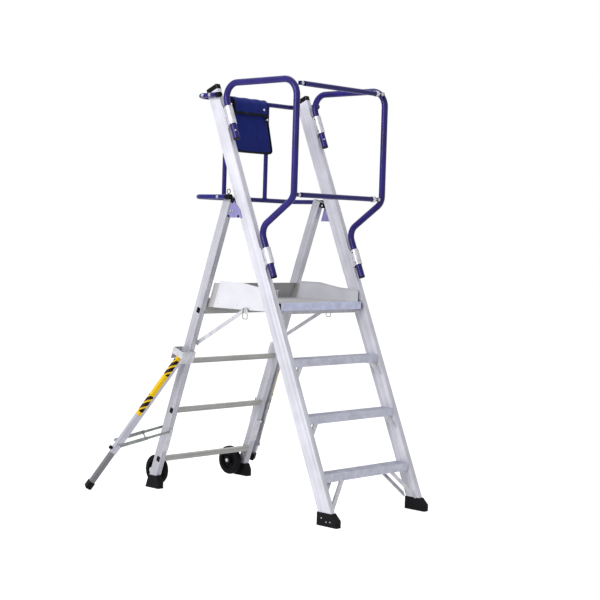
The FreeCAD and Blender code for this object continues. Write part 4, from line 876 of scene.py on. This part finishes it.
def add_welds():
    """Rippled weld beads where the guard's posts meet its rails."""
    deselect()
    bpy.ops.mesh.primitive_torus_add(
        major_radius=0.0119, minor_radius=0.0021, major_segments=72, minor_segments=8,
    )
    bead = bpy.context.object
    for vertex in bead.data.vertices:
        turn = math.atan2(vertex.co.y, vertex.co.x)
        ripple = 1.0 + 0.035 * math.sin(turn * 18.0)
        saddle = 0.0060 * (math.sin(turn) ** 2)
        vertex.co = Vector((vertex.co.x * ripple, vertex.co.y * ripple, vertex.co.z - saddle))
    smooth(bead, 60.0)
    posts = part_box("guard_posts")
    y = (posts[0][1] + posts[1][1]) / 2
    x = posts[1][0] - (posts[1][1] - posts[0][1]) / 2
    upper = PIVOTS["guard_hinge"]["pos_m"][2]
    spots = []
    for side, _ in SIDES:
        spots.append(("guard", (side * x, y, GUARD_LOWER_Z + GUARD_RADIUS + 0.0010), (0.0, 0.0, 1.0)))
        spots.append(("guard", (side * x, y, upper - GUARD_RADIUS - 0.0010), (0.0, 0.0, -1.0)))
    copies(bead, "guard_weld", spots, "guard_paint")


def add_gate_clips():
    """A folded spring clip over the right end of each gate bar, with a lever in front."""
    for joint, body in (("gate_upper_hinge", "gate_upper"), ("gate_lower_hinge", "gate_lower")):
        y, z = PIVOTS[joint]["pos_m"][1:]
        end = GATE_TUBE_RIGHT
        shell = disc(0.0142, 0.020, 28)
        on_faces(shell, lambda centre, normal: abs(normal.z) > 0.9, inset(0.0016))
        on_faces(
            shell, lambda centre, normal: abs(normal.z) > 0.9 and centre.xy.length < 0.001, raised(0.0005),
        )
        modify(shell, "BEVEL", width=0.0006, segments=2)
        lever = block((0.0032, 0.0105, 0.017), (0.0, -0.0175, 0.012))
        on_faces(lever, facing((0, -1, 0)), inset(0.0008), raised(0.0016, (0.0, -1.0, 0.25)))
        modify(lever, "BEVEL", width=0.0007, segments=2)
        clip = joined([shell, lever])
        smooth(clip, 35.0)
        along_bar = Matrix.Rotation(math.radians(90.0), 4, "Y")
        clip.data.transform(Matrix.Translation((end - 0.024, y, z)) @ along_bar)
        finish_piece(clip, body + "_clip", body, "zinc_steel")
        knob = rivet(0.0040, 0.0032)
        spots = [(body, (end - 0.008, y - 0.0108, z + 0.003), (0.0, -1.0, 0.25))]
        copies(knob, body + "_stud", spots, "black_plastic")


def add_stay_clips():
    """A folded keeper at the upper end of each platform stay."""
    for side, word in SIDES:
        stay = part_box("platform_stay_" + word)
        x = side * (abs(stay[0][0]) + abs(stay[1][0])) / 2
        y, z = PIVOTS["catch_" + word + "_swing"]["pos_m"][1:]
        outline = [
            (-0.012, 0.0), (-0.012, -0.020), (-0.004, -0.026), (0.010, -0.020),
            (0.012, 0.0), (0.006, 0.009), (-0.006, 0.009),
        ]
        keeper = plate_from(outline, 0.0016)
        modify(keeper, "BEVEL", width=0.0004, segments=2)
        smooth(keeper, 35.0)
        shift = Matrix.Translation((x + side * 0.0036, y, z)) @ Matrix.Rotation(math.radians(-28.0), 4, "X")
        keeper.data.transform(shift)
        finish_piece(keeper, "stay_keeper_" + word, "stay_" + word, "zinc_steel")


def plate_from(outline, thickness):
    """A flat plate in the YZ plane from an outline, given thickness along X."""
    mesh = bpy.data.meshes.new("plate")
    mesh.from_pydata([(0.0, y, z) for y, z in outline], [], [tuple(range(len(outline)))])
    piece = placed("plate", mesh)
    modify(piece, "SOLIDIFY", thickness=thickness, offset=0.0)
    return piece


def add_nosing_caps():
    """Moulded end pieces on the platform's nosing."""
    low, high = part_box("platform_nosing")
    for side, word in SIDES:
        size = (0.0028, high[1] - low[1] - 0.0105, high[2] - low[2] - 0.0012)
        centre = (side * (high[0] + 0.0013), (low[1] + high[1]) / 2 - 0.005, (low[2] + high[2]) / 2)
        cap = block(size, centre)
        on_faces(cap, facing((side, 0, 0)), inset(0.004), raised(-0.0012, (side, 0.0, 0.0)))
        modify(cap, "BEVEL", width=0.0006, segments=2)
        smooth(cap, 35.0)
        finish_piece(cap, "nosing_cap_" + word, "platform", "black_plastic")


def add_wheel_ribs():
    """Six ribs and two rings on each face of the wheels."""
    for side, word in SIDES:
        body = "wheel_" + word
        place = Vector(PIVOTS[body + "_spin"]["pos_m"])
        for face in (-1.0, 1.0):
            ribs = []
            for spoke in range(6):
                rib = block((0.0034, 0.030, 0.0052), (0.0, 0.0325, 0.0064))
                on_faces(rib, facing((0, 0, 1)), inset(0.0009))
                modify(rib, "BEVEL", width=0.0006, segments=2)
                rib.data.transform(Matrix.Rotation(math.radians(spoke * 60.0 + 15.0), 4, "Z"))
                ribs.append(rib)
            ring = turned([
                (0.0305, 0.0035), (0.0335, 0.0035), (0.0333, 0.0074), (0.0307, 0.0074), (0.0305, 0.0035),
            ], 40)
            rim = turned([
                (0.0440, 0.0035), (0.0478, 0.0035), (0.0474, 0.0100), (0.0446, 0.0100), (0.0440, 0.0035),
            ], 48)
            piece = joined(ribs + [ring, rim])
            smooth(piece, 35.0)
            turn = Matrix.Rotation(math.radians(90.0) * face, 4, "Y")
            piece.data.transform(Matrix.Translation(place) @ turn)
            label = "inner" if face * side < 0 else "outer"
            finish_piece(piece, "wheel_ribs_" + word + "_" + label, body, "black_plastic")


def add_axle_caps():
    """A domed cap on the inner end of each axle."""
    cap = turned([
        (0.0, 0.0), (0.0098, 0.0), (0.0096, 0.0018), (0.0078, 0.0040), (0.0045, 0.0052), (0.0, 0.0056),
    ], 28)
    smooth(cap)
    spots = []
    for side, word in SIDES:
        place = Vector(PIVOTS["wheel_" + word + "_spin"]["pos_m"])
        inner = side * (abs(place.x) - HUB_HALF - 0.0045)
        spots.append(("rear_frame", (inner, place.y, place.z), (-side, 0.0, 0.0)))
    copies(cap, "axle_cap", spots, "zinc_steel")


def add_tapes():
    """Hazard tape wrapped over two faces of each stabiliser leg."""
    for _, word in SIDES:
        hinge, down, outward, forward = leg_frame(word)
        half = LEG_HALF + 0.00005
        inner = -half * TAPE_SHARE
        film = half + TAPE_THICKNESS
        section = [
            (half, -half), (half, half), (inner, half), (inner, film), (film, film), (film, -half),
        ]
        mesh = bpy.data.meshes.new("tape")
        corners = [hinge + outward * w + forward * f + down * TAPE_START for w, f in section]
        mesh.from_pydata(corners, [], [tuple(range(len(corners)))])
        tape = placed("tape", mesh)
        on_faces(tape, everywhere, raised(TAPE_LENGTH, down), make_closed)
        material = hazard_tape("hazard_tape_" + word, hinge, down, outward, forward)
        finish_piece(tape, "tape_" + word, "stabiliser_" + word, None, material)


# Tool bag


def bag_edges(share):
    """Left and right edge of the bag at a share of its height, from its rounded lower corners up."""
    left, right = (low + (high - low) * share for low, high in zip(BAG_BOTTOM_EDGE, BAG_TOP_EDGE))
    rise = min(share * BAG_HEIGHT, BAG_CORNER)
    tuck = BAG_CORNER - math.sqrt(BAG_CORNER ** 2 - (BAG_CORNER - rise) ** 2)
    return left + tuck, right - tuck


def bag_point(u, w, share):
    """A point of the slack bag, full low down and flat at its mouth: u across, w through, share up."""
    left, right = bag_edges(share)
    fill = 0.34 + 0.66 * math.cos(share * math.pi / 2) ** 0.7
    floor = min(1.0, (share * BAG_HEIGHT / 0.016 + 0.05)) ** 0.5
    pinch = max(0.0, 1.0 - (2.0 * u) ** 6) ** 0.5
    depth = BAG_SLACK * fill * floor * (0.25 + 0.75 * pinch)
    sag = 0.003 * (1.0 - (2.0 * u) ** 2) * (1.0 - share)
    x = left + (u + 0.5) * (right - left)
    return Vector((x, BAG_MIDDLE + w * depth, BAG_FLOOR + share * BAG_HEIGHT - sag))


def make_bag_body():
    """A closed pouch that is filled by a short cloth simulation, then creased."""
    deselect()
    bpy.ops.mesh.primitive_cube_add(size=1.0)
    body = bpy.context.object
    on_faces(body, everywhere, lambda: bpy.ops.mesh.subdivide(number_cuts=26))
    for vertex in body.data.vertices:
        u, w, v = vertex.co
        vertex.co = bag_point(u, w, v + 0.5)
    fill_with_air(body)
    modify(body, "SUBSURF", levels=1, render_levels=1)
    for vertex in body.data.vertices:
        x, _, z = vertex.co
        share = (z - BAG_BOTTOM) / BAG_HEIGHT
        fold = math.sin(x * 62.0 + 1.3 * math.sin(z * 21.0)) * 0.0011 * share
        dent = math.sin(z * 47.0 + x * 18.0) * 0.0009 * (1.0 - share)
        vertex.co.y += fold + dent
    smooth(body, 180.0)
    finish_piece(body, "bag_body", "bag", "bag_cloth")
    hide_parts("tool_bag")


def fill_with_air(body):
    """Blow the pouch up a little with its mouth held, and keep every point near where it began."""
    modify(body, "REMESH", mode="VOXEL", voxel_size=0.0046)
    mouth = body.vertex_groups.new(name="mouth")
    held = [v.index for v in body.data.vertices if v.co.z > BAG_BOTTOM + BAG_HEIGHT * 0.95]
    mouth.add(held, 1.0, "REPLACE")
    begin = [v.co.copy() for v in body.data.vertices]
    cloth = body.modifiers.new("cloth", "CLOTH")
    settings = cloth.settings
    settings.quality = 6
    settings.vertex_group_mass = "mouth"
    settings.use_pressure = True
    settings.uniform_pressure_force = 3.0
    settings.tension_stiffness = 12.0
    settings.compression_stiffness = 8.0
    settings.bending_stiffness = 0.3
    settings.effector_weights.gravity = 0.25
    for step in range(1, 19):
        bpy.context.scene.frame_set(step)
    shaped = body.evaluated_get(bpy.context.evaluated_depsgraph_get()).to_mesh()
    ends = [v.co.copy() for v in shaped.vertices]
    body.modifiers.remove(cloth)
    bpy.context.scene.frame_set(1)
    for vertex, start, end in zip(body.data.vertices, begin, ends):
        move = end - start
        if move.length > BAG_MOST_MOVE:
            move = move.normalized() * BAG_MOST_MOVE
        vertex.co = start + move
    body.vertex_groups.clear()


def bag_rim():
    """Points down the left edge, along the bottom and up the right edge."""
    shares = [1.0, 0.75, 0.5, 0.25, 0.10, 0.05, 0.02, 0.0]
    left = [(bag_edges(s)[0], BAG_MIDDLE, BAG_FLOOR + s * BAG_HEIGHT) for s in shares]
    right = [(bag_edges(s)[1], BAG_MIDDLE, BAG_FLOOR + s * BAG_HEIGHT) for s in reversed(shares)]
    start, width = left[-1][0], right[0][0] - left[-1][0]
    middle = [(start + f * width, BAG_MIDDLE, BAG_BOTTOM + 0.0025) for f in (0.25, 0.5, 0.75)]
    return left + middle + right


def make_bag_edge(binding):
    edge = tube_along(bag_rim(), BINDING_RADIUS, squeeze=1.1)
    smooth(edge, 60.0)
    return finish_piece(edge, "bag_edge", "bag", "black_plastic", binding)


def make_bag_sleeve(edge):
    """The loose cloth tube by which the bag hangs on the guard's upper rail."""
    deselect()
    bpy.ops.mesh.primitive_cylinder_add(
        vertices=36, radius=SLEEVE_RADIUS, depth=1.0, end_fill_type="NOTHING",
    )
    sleeve = bpy.context.object
    on_faces(sleeve, everywhere, lambda: bpy.ops.mesh.subdivide(number_cuts=14))
    left, right = BAG_TOP_EDGE
    y, z = PIVOTS["bag_swing"]["pos_m"][1:]
    for vertex in sleeve.data.vertices:
        a, b, along = vertex.co
        turn = math.atan2(b, a)
        swell = 1.0 + 0.05 * math.sin(along * 40.0 + 3.0 * math.sin(turn)) * max(0.0, -math.sin(turn))
        ring = Vector((math.cos(turn), math.sin(turn))) * SLEEVE_RADIUS * swell
        vertex.co = Vector((left + (along + 0.5) * (right - left), y + ring.x, z + ring.y))
    on_faces(sleeve, everywhere, make_closed)
    modify(sleeve, "SOLIDIFY", thickness=0.0011, offset=1.0)
    smooth(sleeve, 60.0)
    finish_piece(sleeve, "bag_sleeve", "bag", "bag_cloth")


def make_bag_hanger(binding):
    """The stiff strip across the bag's mouth, and the stud on its right edge."""
    left, right = BAG_TOP_EDGE
    centre = ((left + right) / 2, BAG_MIDDLE + 0.0075, BAG_TOP + 0.006)
    hanger = block((right - left - 0.004, 0.0022, 0.030), centre)
    on_faces(hanger, facing((0, -1, 0)), inset(0.003), raised(0.0006, (0.0, -1.0, 0.0)))
    modify(hanger, "BEVEL", width=0.0007, segments=2)
    smooth(hanger, 40.0)
    finish_piece(hanger, "bag_hanger", "bag", "black_plastic", binding)
    spots = [("bag", (right + 0.0035, BAG_MIDDLE - 0.0062, BAG_TOP - 0.058), (0.15, -1.0, 0.0))]
    copies(snap(0.0062, 0.0030), "bag_snap", spots, "zinc_steel")


def smooth_path(points, share):
    """A point on a smooth line through the points, at a share of its way."""
    place = share * (len(points) - 1)
    i = min(int(place), len(points) - 2)
    t = place - i
    before, start, end, after = (points[min(max(k, 0), len(points) - 1)] for k in (i - 1, i, i + 1, i + 2))
    return tuple(
        0.5 * (2 * b + (c - a) * t + (2 * a - 5 * b + 4 * c - d) * t * t + (3 * b - a - 3 * c + d) * t ** 3)
        for a, b, c, d in zip(before, start, end, after)
    )


def cover_point(u, v):
    """A point of the bag's cover: u from left to right, v from the seam on the rail to the hem."""
    y, z = smooth_path(COVER_LINE, v)
    left, right = BAG_TOP_EDGE
    x = left - COVER_OVERHANG + u * (right - left + 2 * COVER_OVERHANG)
    dip = 0.0016 * math.sin(u * 19.0) * math.sin(v * math.pi)
    belly = 0.0030 * math.sin(u * math.pi) * v
    curl = 0.0022 * math.sin(u * 23.0 + 1.0) * v * v
    return Vector((x, y - belly - curl, z + dip))


def make_bag_cover():
    deselect()
    bpy.ops.mesh.primitive_grid_add(x_subdivisions=56, y_subdivisions=28, size=1.0)
    cover = bpy.context.object
    for vertex in cover.data.vertices:
        vertex.co = cover_point(vertex.co.x + 0.5, 0.5 - vertex.co.y)
    on_faces(cover, everywhere, make_closed)
    modify(cover, "SOLIDIFY", thickness=0.0017, offset=0.0)
    modify(cover, "BEVEL", width=0.0004, segments=1)
    smooth(cover, 60.0)
    finish_piece(cover, "cover_cloth", "bag_cover", "bag_cloth")
    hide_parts("bag_flap")

    binding = webbing("cover_binding", (0.009, 0.009, 0.013))
    rim = [tuple(cover_point(0.0, v)) for v in (0.0, 0.2, 0.4, 0.6, 0.8, 0.93, 1.0)]
    rim += [tuple(cover_point(u, 1.0)) for u in (0.02, 0.15, 0.3, 0.45, 0.6, 0.75, 0.88, 0.98)]
    rim += [tuple(cover_point(1.0, v)) for v in (1.0, 0.93, 0.8, 0.6, 0.4, 0.2, 0.0)]
    edge = tube_along(rim, 0.0030)
    hem_line = [cover_point(u, 0.955) for u in (0.0, 0.1, 0.25, 0.4, 0.55, 0.7, 0.85, 0.95, 1.0)]
    middle = sum(p.y for p in hem_line) / len(hem_line)
    flatten = 0.4
    spread = [(p.x, middle + (p.y - middle) / flatten, p.z) for p in hem_line]
    hem = tube_along(spread, 0.0066, flatten)
    edge = joined([edge, hem])
    smooth(edge, 60.0)
    finish_piece(edge, "cover_edge", "bag_cover", "black_plastic", binding)

    corner = cover_point(0.965, 0.97)
    strap = block((0.017, 0.0022, 0.036), (0.0, 0.0, -0.014))
    on_faces(strap, facing((0, 0, -1)), inset(0.0008), raised(0.004, (0.25, 0.0, -1.0)))
    modify(strap, "BEVEL", width=0.0007, segments=2)
    smooth(strap, 40.0)
    place = Matrix.Translation(corner + Vector((0.001, -0.0022, 0.0)))
    strap.data.transform(place @ Matrix.Rotation(-0.18, 4, "Y"))
    finish_piece(strap, "cover_strap", "bag_cover", "black_plastic", binding)
    spots = []
    for u, v, drop in ((0.845, 0.80, 0.0), (0.975, 0.97, 0.020)):
        place = cover_point(u, v) + Vector((0.002, -0.0030, -drop))
        spots.append(("bag_cover", place, (-0.1, -1.0, 0.0)))
    copies(snap(0.0060, 0.0032), "cover_snap", spots, "zinc_steel")


add_guard_bolts()
add_gate_bolts()
add_rail_buttons()
add_tread_rivets()
add_stile_rivets()
add_deck_rivets()
add_board_rivets()
add_socket_screws()
add_rail_stops()
add_plate_caps()
add_hinge_bosses()
add_stile_caps()
add_guard_sleeves()
add_welds()
add_gate_clips()
add_stay_clips()
add_nosing_caps()
add_wheel_ribs()
add_axle_caps()
add_tapes()
make_bag_body()
bag_binding = webbing("bag_binding", (0.010, 0.010, 0.014))
make_bag_sleeve(make_bag_edge(bag_binding))
make_bag_hanger(bag_binding)
make_bag_cover()


# Setting

# The camera, solved from the treads, stiles and feet: angles in degrees, sensor in millimetres
CAMERA_PLACE = Vector((-4.888, -4.076, 1.288))
CAMERA_YAW = 46.52
CAMERA_PITCH = -2.66
CAMERA_ROLL = -1.76
FOCAL_PIXELS = 1399.8
IMAGE_PIXELS = 600.0
SENSOR = 36.0

# The room's light on the object, and how much of the floor is plain white where rays see it
ROOM_LIGHT = 0.36
FLOOR_WHITE_SHARE = 0.60
FLOOR_WHITE = 1.62


def seen_rays(tree):
    """1 for camera, mirror and glass rays, which see plain white behind the object."""
    rays = tree.nodes.new("ShaderNodeLightPath")
    most = tree.nodes.new("ShaderNodeMath")
    most.operation = "MAXIMUM"
    tree.links.new(rays.outputs["Is Camera Ray"], most.inputs[0])
    tree.links.new(rays.outputs["Is Glossy Ray"], most.inputs[1])
    every = tree.nodes.new("ShaderNodeMath")
    every.operation = "MAXIMUM"
    tree.links.new(most.outputs[0], every.inputs[0])
    tree.links.new(rays.outputs["Is Transmission Ray"], every.inputs[1])
    return every.outputs[0]


def make_world():
    world = bpy.data.worlds.new("studio")
    bpy.context.scene.world = world
    world.use_nodes = True
    tree = world.node_tree
    tree.nodes.clear()
    seen = seen_rays(tree)
    light = tree.nodes.new("ShaderNodeBackground")
    light.inputs["Color"].default_value = (0.97, 0.97, 1.0, 1.0)
    light.inputs["Strength"].default_value = ROOM_LIGHT
    white = tree.nodes.new("ShaderNodeBackground")
    white.inputs["Color"].default_value = (1.0, 1.0, 1.0, 1.0)
    white.inputs["Strength"].default_value = 1.0
    mix = tree.nodes.new("ShaderNodeMixShader")
    tree.links.new(seen, mix.inputs[0])
    tree.links.new(light.outputs[0], mix.inputs[1])
    tree.links.new(white.outputs[0], mix.inputs[2])
    out = tree.nodes.new("ShaderNodeOutputWorld")
    tree.links.new(mix.outputs[0], out.inputs["Surface"])


def make_floor():
    deselect()
    bpy.ops.mesh.primitive_plane_add(size=60.0, location=(0.0, 8.0, 0.0))
    floor = bpy.context.object
    floor.name = "floor"
    material = bpy.data.materials.new("floor")
    material.use_nodes = True
    tree = material.node_tree
    shader = tree.nodes["Principled BSDF"]
    shader.inputs["Base Color"].default_value = (0.86, 0.86, 0.87, 1.0)
    shader.inputs["Roughness"].default_value = 0.9
    seen = seen_rays(tree)
    share = tree.nodes.new("ShaderNodeMath")
    share.operation = "MULTIPLY"
    share.inputs[1].default_value = FLOOR_WHITE_SHARE
    tree.links.new(seen, share.inputs[0])
    white = tree.nodes.new("ShaderNodeEmission")
    white.inputs["Strength"].default_value = FLOOR_WHITE
    mix = tree.nodes.new("ShaderNodeMixShader")
    tree.links.new(share.outputs[0], mix.inputs[0])
    tree.links.new(shader.outputs[0], mix.inputs[1])
    tree.links.new(white.outputs[0], mix.inputs[2])
    tree.links.new(mix.outputs[0], tree.nodes["Material Output"].inputs["Surface"])
    floor.data.materials.append(material)


def area_light(name, place, target, size, power, colour=(1.0, 1.0, 1.0)):
    data = bpy.data.lights.new(name, "AREA")
    data.shape = "RECTANGLE"
    data.size, data.size_y = size
    data.energy = power
    data.color = colour
    lamp = placed(name, data)
    aim = Vector(target) - Vector(place)
    lamp.matrix_world = Matrix.Translation(place) @ aim.to_track_quat("-Z", "Y").to_matrix().to_4x4()


def make_camera():
    yaw, pitch, roll = (math.radians(a) for a in (CAMERA_YAW, CAMERA_PITCH, CAMERA_ROLL))
    ahead = Vector((math.sin(yaw) * math.cos(pitch), math.cos(yaw) * math.cos(pitch), math.sin(pitch)))
    level = Vector((math.cos(yaw), -math.sin(yaw), 0.0))
    top = level.cross(ahead)
    right = math.cos(roll) * level - math.sin(roll) * top
    up = math.sin(roll) * level + math.cos(roll) * top
    data = bpy.data.cameras.new("camera")
    data.sensor_width = SENSOR
    data.lens = SENSOR * FOCAL_PIXELS / IMAGE_PIXELS
    camera = placed("camera", data)
    turn = Matrix((right, up, -ahead)).transposed()
    camera.matrix_world = Matrix.Translation(CAMERA_PLACE) @ turn.to_4x4()
    bpy.context.scene.camera = camera


make_world()
make_floor()
area_light("key", (-5.0, 0.5, 3.4), (0.0, 0.4, 0.9), (3.0, 3.0), 240.0, (0.97, 0.97, 1.0))
area_light("fill", (-1.5, -5.5, 2.4), (0.0, 0.3, 0.9), (3.0, 2.5), 8.0, (1.0, 0.97, 0.92))
area_light("top", (1.0, 1.0, 5.0), (0.0, 0.5, 0.8), (3.0, 3.0), 35.0)
make_camera()
bpy.context.scene.view_settings.view_transform = "Standard"
